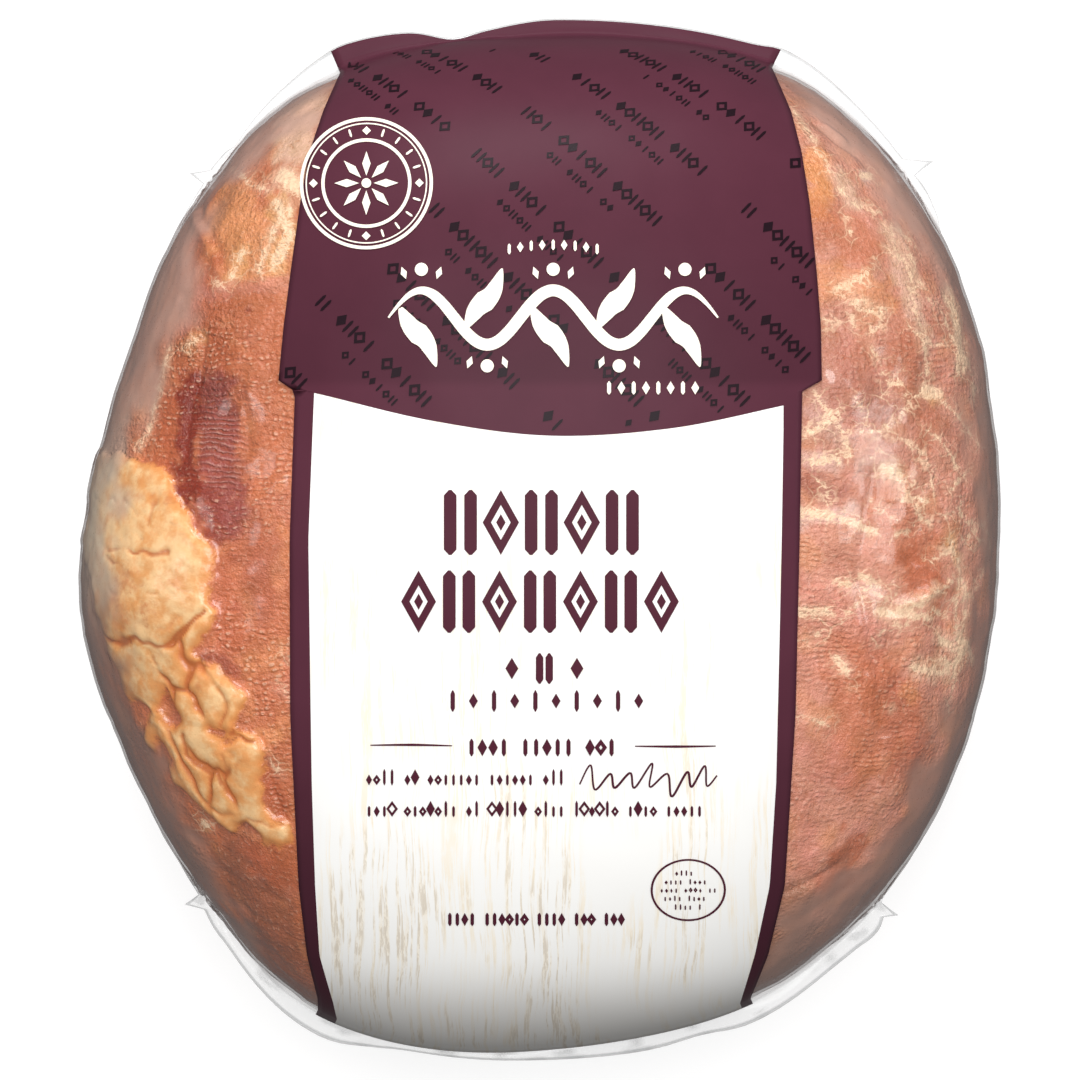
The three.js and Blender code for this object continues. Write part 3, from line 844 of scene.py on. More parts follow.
class Nodes:
    """Short ways to add nodes to a node tree and to join them."""

    def __init__(self, tree):
        self.tree = tree

    def add(self, kind, inputs=None, **settings):
        made = self.tree.nodes.new(kind)
        for name, value in settings.items():
            setattr(made, name, value)
        for socket, value in (inputs or {}).items():
            self.join(value, made, socket)
        return made

    def join(self, value, node, socket):
        """Feeds another node's output, or a plain value, into a socket."""
        if isinstance(value, bpy.types.NodeSocket):
            self.tree.links.new(value, node.inputs[socket])
        else:
            node.inputs[socket].default_value = value

    def math(self, operation, first, second=0.0, clamp=False):
        made = self.add("ShaderNodeMath", {0: first, 1: second}, operation=operation)
        made.use_clamp = clamp
        return made.outputs[0]

    def plus(self, found, *others):
        for value in others:
            found = self.math("ADD", found, value)
        return found

    def times(self, found, *others):
        for value in others:
            found = self.math("MULTIPLY", found, value)
        return found

    def rest(self, share):
        """What a share leaves of 1."""
        return self.math("SUBTRACT", 1.0, share)

    def swing(self, noise, reach):
        """A noise as a swing about 0."""
        return self.times(self.math("SUBTRACT", noise, 0.5), reach)

    def span(self, value, low, high, to_low=0.0, to_high=1.0, smoothly=True):
        kind = "SMOOTHSTEP" if smoothly else "LINEAR"
        inputs = {"Value": value, "From Min": low, "From Max": high,
                  "To Min": to_low, "To Max": to_high}
        return self.add("ShaderNodeMapRange", inputs, interpolation_type=kind).outputs["Result"]

    def mix(self, share, first, second, blend="MIX"):
        """Mixes two colours, each a node's output or a property's three linear numbers."""
        first, second = (colour if isinstance(colour, bpy.types.NodeSocket) else (*colour, 1.0)
                         for colour in (first, second))
        made = self.add("ShaderNodeMix", {0: share, 6: first, 7: second},
                        data_type="RGBA", blend_type=blend)
        return made.outputs[2]

    def noise(self, scale, vector, detail=3.0, roughness=0.55):
        inputs = {"Vector": vector, "Scale": scale, "Detail": detail, "Roughness": roughness}
        return self.add("ShaderNodeTexNoise", inputs).outputs["Fac"]

    def drifted(self, vector, place, scale, reach):
        """A vector that a slow noise moves about."""
        drift = self.add("ShaderNodeTexNoise", {"Vector": place, "Scale": scale, "Detail": 2.0})
        shift = self.add("ShaderNodeVectorMath", {0: drift.outputs["Color"], "Scale": reach},
                         operation="SCALE").outputs["Vector"]
        return self.add("ShaderNodeVectorMath", {0: vector, 1: shift}, operation="ADD").outputs["Vector"]

    def axis(self, vector, name):
        return self.add("ShaderNodeSeparateXYZ", {0: vector}).outputs[name]

    def attribute(self, name):
        return self.add("ShaderNodeAttribute", attribute_name=name).outputs["Fac"]

    def attribute_colour(self, name):
        return self.add("ShaderNodeAttribute", attribute_name=name).outputs["Color"]

    def stretched(self, vector, scale, turn=(0.0, 0.0, 0.0)):
        inputs = {"Vector": vector, "Scale": scale, "Rotation": turn}
        return self.add("ShaderNodeMapping", inputs).outputs["Vector"]

    def place(self):
        """Object coordinates in millimetres."""
        found = self.add("ShaderNodeTexCoord").outputs["Object"]
        made = self.add("ShaderNodeVectorMath", {0: found, "Scale": 1 / MM}, operation="SCALE")
        return made.outputs["Vector"]


def new_material(name):
    """A material with a Principled BSDF, its nodes and its helper."""
    material = bpy.data.materials.new(name)
    material.use_nodes = True
    tree = material.node_tree
    tree.nodes.clear()
    nodes = Nodes(tree)
    surface = nodes.add("ShaderNodeBsdfPrincipled")
    output = nodes.add("ShaderNodeOutputMaterial", {"Surface": surface.outputs["BSDF"]})
    return material, nodes, surface, output


def from_screen(red, green, blue):
    """A colour picked on screen, 0 to 255, as linear numbers."""
    def channel(value):
        value /= 255
        return value / 12.92 if value <= 0.04045 else ((value + 0.055) / 1.055) ** 2.4
    return tuple(round(channel(value), 4) for value in (red, green, blue))


def ham_material(look):
    """Roasted meat with net marks, tissue and fat, dulled where the film stands off."""
    material, nodes, surface, _ = new_material("ham_meat")
    mix, plus, rest, span, swing, times = (
        nodes.mix, nodes.plus, nodes.rest, nodes.span, nodes.swing, nodes.times)
    place = nodes.place()
    mottle = nodes.noise(0.16, place, 3.0, 0.6)
    mid = nodes.noise(0.38, place, 3.0, 0.6)
    fine = nodes.noise(0.95, place, 3.0, 0.65)
    grit = nodes.noise(2.3, place, 2.0, 0.6)
    haze = nodes.attribute("haze")
    clear = rest(haze)
    streak = nodes.attribute("streak")

    # Marks of the cooking net: beads in rows on one side, wavy furrows on the other.
    skin_uv = nodes.add("ShaderNodeUVMap", uv_map="skin").outputs["UV"]
    along = nodes.drifted(skin_uv, place, 0.09, 4.5)
    row = times(nodes.axis(along, "Y"), 2 * math.pi / NET_PITCH)
    row = nodes.math("SINE", plus(row, plus(swing(fine, 4.2), swing(mid, 7.0))))
    stitches = nodes.stretched(along, (1 / NET_STITCH, 1 / NET_PITCH, 0.0))
    bead = nodes.add("ShaderNodeTexVoronoi", {"Vector": stitches, "Scale": 1.0, "Randomness": 0.55},
                     voronoi_dimensions="2D", feature="F1").outputs["Distance"]
    bead = span(plus(bead, swing(grit, 0.25)), 0.62, 0.12, -1.0, 1.0)
    rows = nodes.attribute("rows")
    knit = plus(times(row, rows), times(bead, rest(rows)))
    patchy = nodes.math("MAXIMUM", span(mid, 0.4, 0.6, 0.15, 1.0),
                        span(rows, 0.5, 0.8, 0.0, 0.8))
    knit = times(knit, times(nodes.attribute("net"), patchy), clear)

    # The meat's own colour, mottled; the net's furrows redder and darker, partly painted shade, and its
    # crests paler as painted glints.
    colour = nodes.attribute_colour("meat")
    colour = mix(span(fine, 0.55, 0.76, 0.0, 0.34), colour, look.pale)
    shade = span(plus(mottle, times(fine, 0.5)), 0.5, 1.0, 0.8, 1.1, False)
    shade = times(shade, span(grit, 0.3, 0.7, 0.93, 1.07, False))
    shade = plus(times(shade, clear), times(haze, 0.95))
    cool = nodes.math("POWER", shade, 1.6)
    tint = nodes.add("ShaderNodeCombineColor", {0: shade, 1: shade, 2: cool}).outputs["Color"]
    colour = mix(1.0, colour, tint, "MULTIPLY")
    reds = times(span(fine, 0.44, 0.32), clear)
    colour = mix(times(reds, 0.26), colour, look.rust)
    colour = mix(span(knit, -0.05, -0.8, 0.0, 0.36), colour, look.furrow_red_and_shade)
    in_rows = span(rows, 0.5, 0.85)
    crest_glints = times(span(knit, 0.3, 0.95, 0.0, 0.42), rest(times(in_rows, 0.85)))
    colour = mix(crest_glints, colour, look.pale)
    # Painted lilac highlights on the ridges of the furrowed rows.
    ridge = times(in_rows, span(knit, 0.1, 0.8), span(grit, 0.35, 0.6, 0.3, 1.0))
    colour = mix(times(ridge, 0.26), colour, look.lilac)

    # Cream tissue: wisps with a soft halo, and a fine web between them.
    bent = nodes.drifted(place, place, 0.22, 5.0)
    fibre = nodes.noise(1.0, nodes.stretched(bent, (0.4, 1.7, 0.9), (0, 0, 0.35)), 3.0, 0.7)
    frayed = plus(streak, swing(fine, 1.9), swing(mid, 2.4), swing(fibre, 3.6))
    colour = mix(span(frayed, 2.0, 0.0, 0.0, 0.14), colour, look.pale)
    crisp = times(span(frayed, 0.2, -0.3), span(fibre, 0.32, 0.56, 0.35, 1.0))
    colour = mix(times(crisp, 0.85), colour, look.tissue)
    cells = nodes.stretched(bent, (0.13, 0.2, 0.16), (0, 0, 0.5))
    web = nodes.add("ShaderNodeTexVoronoi", {"Vector": cells, "Scale": 1.0},
                    feature="DISTANCE_TO_EDGE").outputs["Distance"]
    thread = span(plus(web, times(fine, 0.07)), 0.08, 0.04)
    near = span(plus(streak, times(mottle, 6.0)), 6.6, 2.6)
    colour = mix(times(thread, near, 0.5), colour, look.tissue)

    # Fat, warm and browned low down and in its creases, partly painted shade there, and paler on its crests
    # as a painted highlight.
    edge = plus(nodes.attribute("fat"), swing(mid, 2.4), swing(fine, 1.2))
    is_fat = span(edge, -0.5, 0.7)
    crest = plus(nodes.attribute("crest"), swing(mid, 0.9), swing(mottle, 1.5))
    tone = mix(span(crest, 0.1, 0.85), look.fat_warm_and_shade, look.fat)
    tone = mix(span(crest, 0.72, 1.2, 0.0, 0.9), tone, look.fat_pale_highlight)
    cloud = plus(nodes.noise(0.24, place, 3.0, 0.6), swing(fine, 0.2))
    tone = mix(span(cloud, 0.5, 0.7, 0.0, 0.4), tone, look.fat_warm_and_shade)
    stain = plus(nodes.attribute("stain"), swing(mid, 2.6), swing(fine, 0.9))
    tone = mix(span(stain, 0.45, 1.4, 0.0, 0.7), tone, look.stain)
    tone = mix(span(edge, 2.4, 0.2, 0.0, 0.5), tone, look.fat_warm_and_shade)
    crease = plus(nodes.attribute("crease"), swing(fine, 0.25))
    tone = mix(span(crease, 0.03, 0.65, 0.0, 0.8), tone, look.crease)
    colour = mix(is_fat, colour, tone)

    # A veil where the film stands off the meat: the film's haze, with a painted reflection and painted
    # shade.
    dull = times(haze, span(mottle, 0.25, 0.75, 0.72, 0.9))
    # The veil is paler towards the top seal: painted light.
    high = span(nodes.axis(place, "Y"), -30.0, 95.0)
    veil_haze_and_shade = mix(high, look.veil_haze_and_shade, look.veil_painted_light)
    # A milky patch of film with a painted sheen over the fat's outer side.
    veil_haze_and_shade = mix(nodes.attribute("milk_and_sheen"), veil_haze_and_shade, look.milk_and_sheen)
    nodes.join(mix(dull, colour, veil_haze_and_shade), surface, "Base Color")

    grain = plus(times(fine, 0.9), times(grit, 0.3))
    grain = times(grain, clear, rest(times(is_fat, 0.8)))
    pebble = times(nodes.attribute("pebble"), nodes.noise(0.75, place, 3.0, 0.6))
    height = plus(times(knit, 0.25), grain, times(pebble, 2.4))
    bump = nodes.add("ShaderNodeBump", {"Height": height, "Strength": 1.0, "Distance": RELIEF_DEPTH * MM})
    nodes.join(bump.outputs["Normal"], surface, "Normal")
    nodes.join(span(fine, 0.3, 0.7, 0.24, 0.44, False), surface, "Roughness")
    nodes.join(0.45, surface, "Specular IOR Level")
    nodes.join(span(is_fat, 0.0, 1.0, 0.75, 0.3, False), surface, "Coat Weight")
    nodes.join(0.15, surface, "Coat Roughness")
    return material


# How far a dark painted shade hides the ham where the film is seen edge on, and the most that the film
# reflects.
RIM_SHADE = 0.42
FILM_SHINE = 0.12


def film_material(look):
    """Clear film: it lets the view through, reflects a little and carries a dark painted shade where it
    turns away.
    """
    material, nodes, surface, output = new_material("clear_film")
    line = nodes.attribute("line")
    facing = nodes.add("ShaderNodeLayerWeight", {"Blend": 0.3}).outputs["Facing"]
    on_ham = nodes.math("SUBTRACT", 1.0, nodes.attribute("fin"), clamp=True)
    # Painted shade where the film over the ham turns away from the view.
    rim = nodes.times(nodes.span(facing, 0.2, 0.85, 0.0, RIM_SHADE), on_ham)
    colour = nodes.mix(line, look.film, look.film_edge_and_shadow)
    nodes.join(nodes.mix(on_ham, colour, look.film_rim_shade), surface, "Base Color")
    nodes.join(0.4, surface, "Roughness")
    nodes.join(0.2, surface, "Specular IOR Level")
    clear = nodes.add("ShaderNodeBsdfTransparent")
    gloss = nodes.add("ShaderNodeBsdfGlossy", {"Roughness": 0.16})
    fresnel = nodes.add("ShaderNodeFresnel", {"IOR": 1.4}).outputs["Fac"]
    shine = nodes.math("MINIMUM", nodes.times(fresnel, 0.6), FILM_SHINE)
    film = nodes.add("ShaderNodeMixShader", {0: shine, 1: clear.outputs["BSDF"],
                                             2: gloss.outputs["BSDF"]})
    cover = nodes.plus(nodes.attribute("haze"), nodes.times(line, 0.36))
    cover = nodes.math("ADD", cover, rim, clamp=True)
    full = nodes.add("ShaderNodeMixShader", {0: cover, 1: film.outputs["Shader"],
                                             2: surface.outputs["BSDF"]})
    nodes.join(full.outputs["Shader"], output, "Surface")
    return material


def printed_finish(nodes, surface, colour, place, shine=0.05):
    """The satin film that all print shares, in a colour, with a faintly uneven gloss."""
    nodes.join(colour, surface, "Base Color")
    nodes.join(nodes.span(nodes.noise(0.02, place, 2.0), 0.25, 0.75, 0.36, 0.4, False), surface, "Roughness")
    nodes.join(shine, surface, "Specular IOR Level")


def ink_material(name, colour, worn=0.06, shine=0.05, painted_shade=False):
    """A printed colour, very slightly uneven; with painted shade, it is darker low on the flap and low on
    the stripes.
    """
    material, nodes, surface, _ = new_material(name)
    place = nodes.place()
    share = nodes.span(nodes.noise(0.09, place, 4.0), 0.3, 0.7)
    tone = nodes.mix(share, colour, [channel * (1 - worn) for channel in colour])
    if painted_shade:
        along = nodes.axis(place, "Y")
        # Painted shade: darker near the flap's lower edge and towards the stripes' lower ends.
        flap_shade = nodes.times(nodes.span(along, 34.0, 37.0), nodes.span(along, 95.0, 38.0, 0.0, 0.2))
        low = nodes.span(along, -30.0, -100.0, 0.0, 0.4)
        tone = nodes.mix(nodes.plus(flap_shade, low), tone, [channel * 0.1 for channel in colour])
    printed_finish(nodes, surface, tone, place, shine)
    return material


def wood_material(look):
    """The pale panel: white paint over wood, with the grain showing through along the pack, and painted
    shade at its lower end.
    """
    material, nodes, surface, _ = new_material("painted_wood_print")
    mix, span, times = nodes.mix, nodes.span, nodes.times
    place = nodes.place()
    low = nodes.axis(place, "Y")
    worn = span(low, 0.0, -105.0, 0.0, 1.0, False)
    bent = nodes.drifted(place, place, 0.03, 5.0)
    strand = nodes.noise(1.0, nodes.stretched(bent, (0.95, 0.03, 0.02)), 5.0, 0.65)
    patch = nodes.noise(1.0, nodes.stretched(bent, (0.05, 0.022, 0.015)), 3.0, 0.55)
    nick = nodes.noise(1.0, nodes.stretched(place, (1.3, 0.2, 0.1)), 4.0, 0.7)
    grain = times(span(strand, 0.48, 0.6), span(patch, 0.4, 0.56),
                        span(nick, 0.36, 0.55, 0.4, 1.0))
    colour = mix(times(grain, 0.9), look.panel, look.grain)
    rubbed = times(span(nodes.plus(patch, times(worn, 0.08)), 0.57, 0.68),
                         span(strand, 0.5, 0.58), span(nick, 0.46, 0.54))
    colour = mix(times(rubbed, span(worn, 0.25, 0.85, 0.06, 0.8)), colour, look.worn)
    # Painted shade: the panel darkens towards its lower end.
    colour = mix(span(low, -94.0, -112.0, 0.0, 0.42), colour, look.painted_shade)
    printed_finish(nodes, surface, colour, place)
    return material


# ---- The ham -------------------------------------------------------------------------------------

MEAT_COLOURS = (
    "amber", "orange", "rust", "deep", "brown", "mauve", "pink", "rose", "pale", "lilac",
    "tissue", "gold", "tan",
)

# Brown stains in the fat cap and pebbled spots of the meat: x, y, reach.
FAT_STAINS = (
    (-94, -9.4, 4.0), (-96, -13.1, 3.0), (-89.2, -16.6, 3.4), (-94.3, -18.4, 3.2),
    (-90.6, -10.6, 2.4), (-84, 9.0, 3.0), (-77.0, -33.5, 1.5), (-74, -59, 2.0), (-72.5, -64, 2.0),
)
PEBBLED = (
    (-60, 66, 9.0), (-66, 78, 7.0), (-64, 68, 8.0), (-60, 75, 5.0), (-73, 50, 6.0), (-80, 45, 4.0),
    (-73, 33, 6.0),
)

HAM_SEGMENTS = 120
HAM_RINGS = 80
NET_PITCH = 1.36
NET_STITCH = 2.0
RELIEF_DEPTH = 0.6
STREAK_REACH = 9.0
AROUND_SCALE = 1.35
SKIN_RADIUS = 119
BUMPS = ((9.0, 0.35, 3), (3.2, 0.14, 4), (1.6, 0.07, 5))

# The relief is kept lower near the seal plane, where the film is drawn tight.
RIM_TRIM = 0.55
RIM_SPREAD = 24.0


def half_band(y, side):
    """Where the printed band ends at a height of the shown face: side 1 is left, 2 is right."""
    rows = np.array(FLAP + PANEL)[::-1]
    return np.interp(y, rows[:, 0], rows[:, side])


def back_band(y):
    crowned = 1 - (y / BACK_BAND_TOP) ** 2
    return BACK_BAND_END + (BACK_BAND_MIDDLE - BACK_BAND_END) * crowned


def window_depth(points):
    """How far inside the clear windows each point lies, below 0 under the printed film."""
    left, right = half_band(points[:, 1], 1), half_band(points[:, 1], 2)
    front = np.maximum(left - points[:, 0], points[:, 0] - right)
    back = np.abs(points[:, 0]) - back_band(points[:, 1])
    return np.where(points[:, 2] >= 0, front, back)


def window_share(points):
    """1 in the clear windows, falling to 0 under the printed film."""
    return smooth(-1.0, 2.5, window_depth(points))


def furrowed_share(points):
    """How near each point is to the purple patch that the net furrowed most."""
    return bell(np.hypot(1.6 * (points[:, 0] + 73), points[:, 1] - 22), 17)


def meat_rise(base, form, relief, bumps):
    """The meat's relief over the plain skin, without its creases and seams."""
    share = smooth(-0.4, 0.4, form[0])
    low = bell(base[:, 2], RIM_SPREAD)
    rise = form[1] * (1 - 0.5 * low) + share * 0.08 * waves(base, 5.5, 71) - RIM_TRIM * low
    bare = (window_depth(base) > 2.0) * (1 - 0.7 * veil_share(base))
    for size, height, seed in bumps:
        rise += relief * height * waves(base, size, seed) * (0.3 + 0.7 * bare) * (1 - 0.55 * share)
    return rise


def add_ham(settings, look):
    """The ham: a ball cut finer in the clear windows and finest on the fat, then shaped."""
    deselect()
    bpy.ops.mesh.primitive_uv_sphere_add(segments=HAM_SEGMENTS, ring_count=HAM_RINGS, radius=1,
                                         rotation=(math.pi / 2, 0, 0))
    ham = started("ham")

    def faces_on_skin():
        middles = face_middles(ham)
        middles /= np.linalg.norm(middles, axis=1)[:, None]
        return skin(middles)

    spots = faces_on_skin()
    subdivided(ham, window_depth(spots) > -4.0)
    spots = faces_on_skin()
    ends = np.abs(spots[:, 1]) > 98
    subdivided(ham, (window_depth(spots) > -3.0) & (spots[:, 2] > -34) & ~ends)
    spots = faces_on_skin()
    found = marks()
    fatty = depth_in(FAT_OUTLINE, spots) > -1.5
    for path, width, _ in found["lobes"]:
        if path[:, 2].mean() > 0:
            fatty |= distance_to(spots, path, width + 2) < width + 1.0
    subdivided(ham, fatty & (spots[:, 2] > -8))

    directions = coordinates(ham)
    directions /= np.linalg.norm(directions, axis=1)[:, None]
    base = skin(directions)
    reshape(ham, base)
    shaded_smooth(ham)
    normals = vertex_normals(ham)

    form = fat_form(base, found)
    fat, _, crest, crease = form
    fat_share = smooth(-0.4, 0.4, fat)
    rise = meat_rise(base, form, settings.relief, BUMPS)
    rise += fat_share * (0.04 * waves(base, 2.4, 72) - 0.6 * crease)
    rise += groove(base, found["meat"]) * (1 - 0.7 * fat_share)
    rise = np.where(rise > 0, rise * window_share(base), rise)
    shaped = lying(base + normals * rise[:, None])
    reshape(ham, placed(shaped))

    streak = np.full(len(base), STREAK_REACH)
    for path, width in found["streaks"]:
        streak = np.minimum(streak, distance_to(base, path, STREAK_REACH) - width)
    for name, path, reach, strength in found["patches"]:
        if name in ("tissue", "gold") and path[:, 2].mean() > 0:
            away = distance_to(base, path, STREAK_REACH + reach)
            streak = np.minimum(streak, away - 0.55 * reach * strength + 0.2)
    palette = {name: np.array(getattr(look, name)) for name in MEAT_COLOURS}
    store_colour(ham, "meat", painted_meat(base, palette, found["patches"]))
    shown = base[:, 2] > 0
    stain = np.zeros(len(base))
    for x, y, reach in FAT_STAINS:
        stain = np.maximum(stain, bell(plan_distance(base, x, y), reach) * shown)
    store(ham, "fat", np.clip(fat, -9, 9))
    store(ham, "crest", crest)
    store(ham, "stain", stain)
    store(ham, "crease", np.clip(crease, 0, 2))
    store(ham, "streak", streak)
    store(ham, "haze", 0.95 * veil_share(base))
    net = smooth(-0.5, -2.0, fat) * np.clip(0.8 + 0.55 * waves(base, 16, 21), 0.1, 1)
    net *= np.where(base[:, 0] > 0, 0.75, 1 - 0.65 * smooth(46, 56, base[:, 1]))
    net *= 1 - 0.55 * smooth(-62, -78, base[:, 1]) * (base[:, 0] < 0)
    store(ham, "net", np.maximum(net, furrowed_share(base) * shown))
    # Where the milky film with its painted sheen lies, over the fat's outer side.
    milk_and_sheen = bell(np.hypot(base[:, 0] + 103, 0.7 * (base[:, 1] - 5)), 14) * (base[:, 2] > -20)
    store(ham, "milk_and_sheen", milk_and_sheen)
    pebble = smooth(0.6, 1.4, waves(base, 14, 33)) * 0.5
    for x, y, reach in PEBBLED:
        pebble = np.maximum(pebble, bell(plan_distance(base, x, y), reach) * shown)
    store(ham, "pebble", pebble * (fat < 0))
    furrowed = np.maximum(furrowed_share(base), 0.42 * smooth(-0.3, 0.6, waves(base, 15, 22)))
    store(ham, "rows", np.where(base[:, 2] >= -5, furrowed, 0.4))

    # Coordinates on the skin for the net's marks, round the ham and along it.
    around = AROUND_SCALE * np.degrees(np.arctan2(directions[:, 0], directions[:, 2]))
    along = HALF_LENGTH_BOTTOM * np.arcsin(np.clip(base[:, 1] / SKIN_RADIUS, -1, 1))
    layer = ham.data.uv_layers.new(name="skin")
    corner = np.empty(len(ham.data.loops), int)
    ham.data.loops.foreach_get("vertex_index", corner)
    spread = np.column_stack([around, along])[corner]
    layer.data.foreach_set("uv", spread.astype(np.float32).ravel())
    return ham


# ---- The clear bag -------------------------------------------------------------------------------

FILM_COLUMNS = 560
FILM_CLEARANCE = 0.3
FILM_SKIN_ROWS = 46
FILM_SEAL_ROWS = 8
LOWEST_ROW = 1.1
EAR_ANGLES = tuple(ear[0] for ear in EARS)
EAR_CROWDING = 11
EAR_SPREAD = 3.2
SEAL_WAVE = 0.9
SEAL_DROOP = 0.5


def seal_lift(angle):
    """How far the flat film waves up and down at an angle, in millimetres."""
    turn = np.radians(angle)
    return SEAL_WAVE * (0.6 * np.sin(11 * turn + 0.6) + 0.4 * np.sin(23 * turn + 2.1))


def film_rise(points, found, relief):
    """How far the film stands over the skin to clear the meat, without following its creases."""
    folds = [mark for mark in found["meat"] if mark[2] > 0]
    rise = meat_rise(points, fat_form(points, found), relief, BUMPS[:2]) + groove(points, folds)
    return (rise + FILM_CLEARANCE) * window_share(points)


def add_bag(settings):
    """The clear film: a ball whose equator is drawn out into the two flat end seals."""
    rows = 2 * (FILM_SKIN_ROWS + FILM_SEAL_ROWS) + 2
    deselect()
    bpy.ops.mesh.primitive_uv_sphere_add(segments=FILM_COLUMNS, ring_count=rows, radius=1)
    bag = started("clear_bag")
    start = coordinates(bag)
    row = np.rint(np.degrees(np.arccos(np.clip(start[:, 2], -1, 1))) * rows / 180).astype(int)
    column = np.degrees(np.arctan2(start[:, 1], start[:, 0])) % 360 / 360

    # The film's columns, closer together at the ears.
    fine = np.linspace(0, 360, 7201)
    density = 1 + sum(EAR_CROWDING * bell(turn_between(fine, ear), EAR_SPREAD) for ear in EAR_ANGLES)
    spent = np.concatenate([[0], np.cumsum((density[1:] + density[:-1]) / 2)])
    angle = np.interp(column * spent[-1], spent, fine)

    # The film's rows, counted from the front pole to the edge of the seals, then mirrored.
    mirrored = row > rows // 2
    from_pole = np.where(mirrored, rows - row, row)
    share = np.clip(1 - from_pole / FILM_SKIN_ROWS, 0, 1) ** 1.35
    elevation = LOWEST_ROW + (90 - LOWEST_ROW) * share
    out = np.clip((from_pole - FILM_SKIN_ROWS) / (FILM_SEAL_ROWS + 1), 0, 1)
    elevation = np.where(out > 0, LOWEST_ROW * (1 - out), elevation)
    side = np.where(mirrored, -1.0, 1.0)
    tilt, turn = np.radians(elevation), np.radians(angle)
    directions = np.column_stack([np.cos(tilt) * np.cos(turn), np.cos(tilt) * np.sin(turn),
                                  side * np.sin(tilt)])
    outside = settings.film_gap / MM
    found = marks()
    base = skin(directions)
    wrap = skin(directions, outside)
    normal = wrap / np.linalg.norm(wrap, axis=1)[:, None]
    wrap += normal * film_rise(base, found, settings.relief)[:, None]

    # Wrinkles run out of each ear over the ham's shoulders.
    pull = np.zeros(len(wrap))
    for ear in EAR_ANGLES:
        reach = oval(np.array([ear]))[0]
        spot = np.array([reach * math.cos(math.radians(ear)), reach * math.sin(math.radians(ear)), 0])
        gap = wrap - spot
        away = np.linalg.norm(gap, axis=1)
        fan = np.arctan2(gap[:, 2], gap @ np.array([-spot[1], spot[0], 0]) / reach)
        ridge = 0.5 + 0.5 * np.sin(9 * fan + 0.35 * away + ear)
        pull += 0.8 * ridge**2 * np.exp(-away / 13.0) * smooth(0, 3, away)
    wrap += normal * pull[:, None]
    wrap = lying(wrap, outside)

    # The flat seals.
    reach = seal_reach(angle)
    rim = oval(angle) + outside
    seal = np.zeros_like(wrap)
    tent = (1 - out) ** 2 * 1.3
    at = rim + out * reach
    hook = turn.copy()
    for ear, _, below, above, lean in EARS:
        hook += np.radians(lean) * out**2 * ear_share(angle, ear, below, above)
    seal[:, 0], seal[:, 1] = at * np.cos(hook), at * np.sin(hook)
    bead = 0.12 + 0.16 * bell(out - 0.86, 0.08)
    seal[:, 2] = side * (tent + np.where(out < 1, bead, 0.0)) + seal_lift(angle) * smooth(0, 0.8, out)
    crinkle = 0.35 * np.sin(turn * 160) * smooth(0.2, 0.9, out) * bell(reach - 5.5, 3.0)
    seal[:, 2] += crinkle - SEAL_DROOP * out * reach
    share = (smooth(0.3, 1.2, reach) * (out > 0))[:, None]
    wrap = wrap * (1 - share) + seal * share
    reshape(bag, placed(wrap))
    shaded_smooth(bag)
    bag.visible_shadow = False
    bag.visible_diffuse = False

    fin = (out > 0) * share[:, 0]
    fold = smooth(0.45, 0.9, waves(wrap * (1, 1, 0), 3.0, 81)) * fin
    store(bag, "haze", 0.11 * fin + 0.1 * fold)
    store(bag, "fin", fin)
    # Grey lines: the bead at the seals' outer edge, a painted shadow next to the ham's edge and painted
    # shade along folds.
    edge = bell(out - 0.9, 0.07) + 0.5 * bell(out - 0.1, 0.08) + 0.4 * fold * bell(out - 0.5, 0.3)
    store(bag, "line", np.clip(edge, 0, 1) * fin)
    return bag


# ---- The printed band ----------------------------------------------------------------------------

PRINT_OUTER = 0.85
BACK_OUTER = 0.75
PRINT_THICKNESS = 0.3
PRINT_INSET = 0.15
PRINT_OVER_SEAL = 1.4
PANEL_COLUMNS = 60
STRIPE_COLUMNS = 3
TOP_SEAL_ROWS = 7
FLAP_ROWS = 52
ARC_ROWS = 6
PANEL_ROWS = 84
END_ROWS = 2

# The back's grid, the width of its border, and how near its ends come to the ham's ends.
BACK_COLUMNS = 48
BACK_ROWS = 120
BACK_BORDER = 4
BACK_FLAP_ROWS = 34
BACK_END_ROWS = 8
BACK_TOP_SHARE = 0.995
BACK_BOTTOM_SHARE = 0.985

# The stripes' inner edges: y, left x, right x.
STRIPES = (
    (36, -51.3, 55.4), (25, -51.75, 55.4), (0, -52.7, 55.0), (-55.4, -52.0, 53.8),
    (-79, -51.3, 52.4), (-95, -50.4, 49.1), (-106, -47.4, 46.0), (-113, -46.0, 44.6),
)
ARC = ((-60, 34.6), (-51.3, 33.4), (-25, 27.2), (2.3, 23.7), (30, 25.4), (55.4, 30.6), (64, 32.4))
ARC_LINE = spline(ARC, 60)
SWELL = 0.1
BRIDGE = 0.32
STRIPE_WIDTH = 4.3
FLAP_END = FLAP[-1][0]
PANEL_TOP = PANEL[0][0]


def print_height(x, y):
    """Height of the printed film's outer face at places in plan view."""
    x, y = np.atleast_1d(x).astype(float), np.atleast_1d(y).astype(float)
    angle = np.degrees(np.arctan2(y, x))
    ham = skin_height(x, y, PRINT_OUTER)
    past = np.maximum(np.hypot(x, y) - oval(angle), 0)
    flat = PRINT_OUTER + 0.1 + seal_lift(angle) * smooth(0, 3, past) - SEAL_DROOP * past
    spots = np.column_stack([x, y, 0 * x])
    soft = SWELL * waves(spots, 17, 51) + 0.4 * SWELL * waves(spots, 7, 52)
    ham = ham + soft * smooth(4, 20, ham)
    return np.log(np.exp(BRIDGE * (ham - flat)) + 1) / BRIDGE + flat


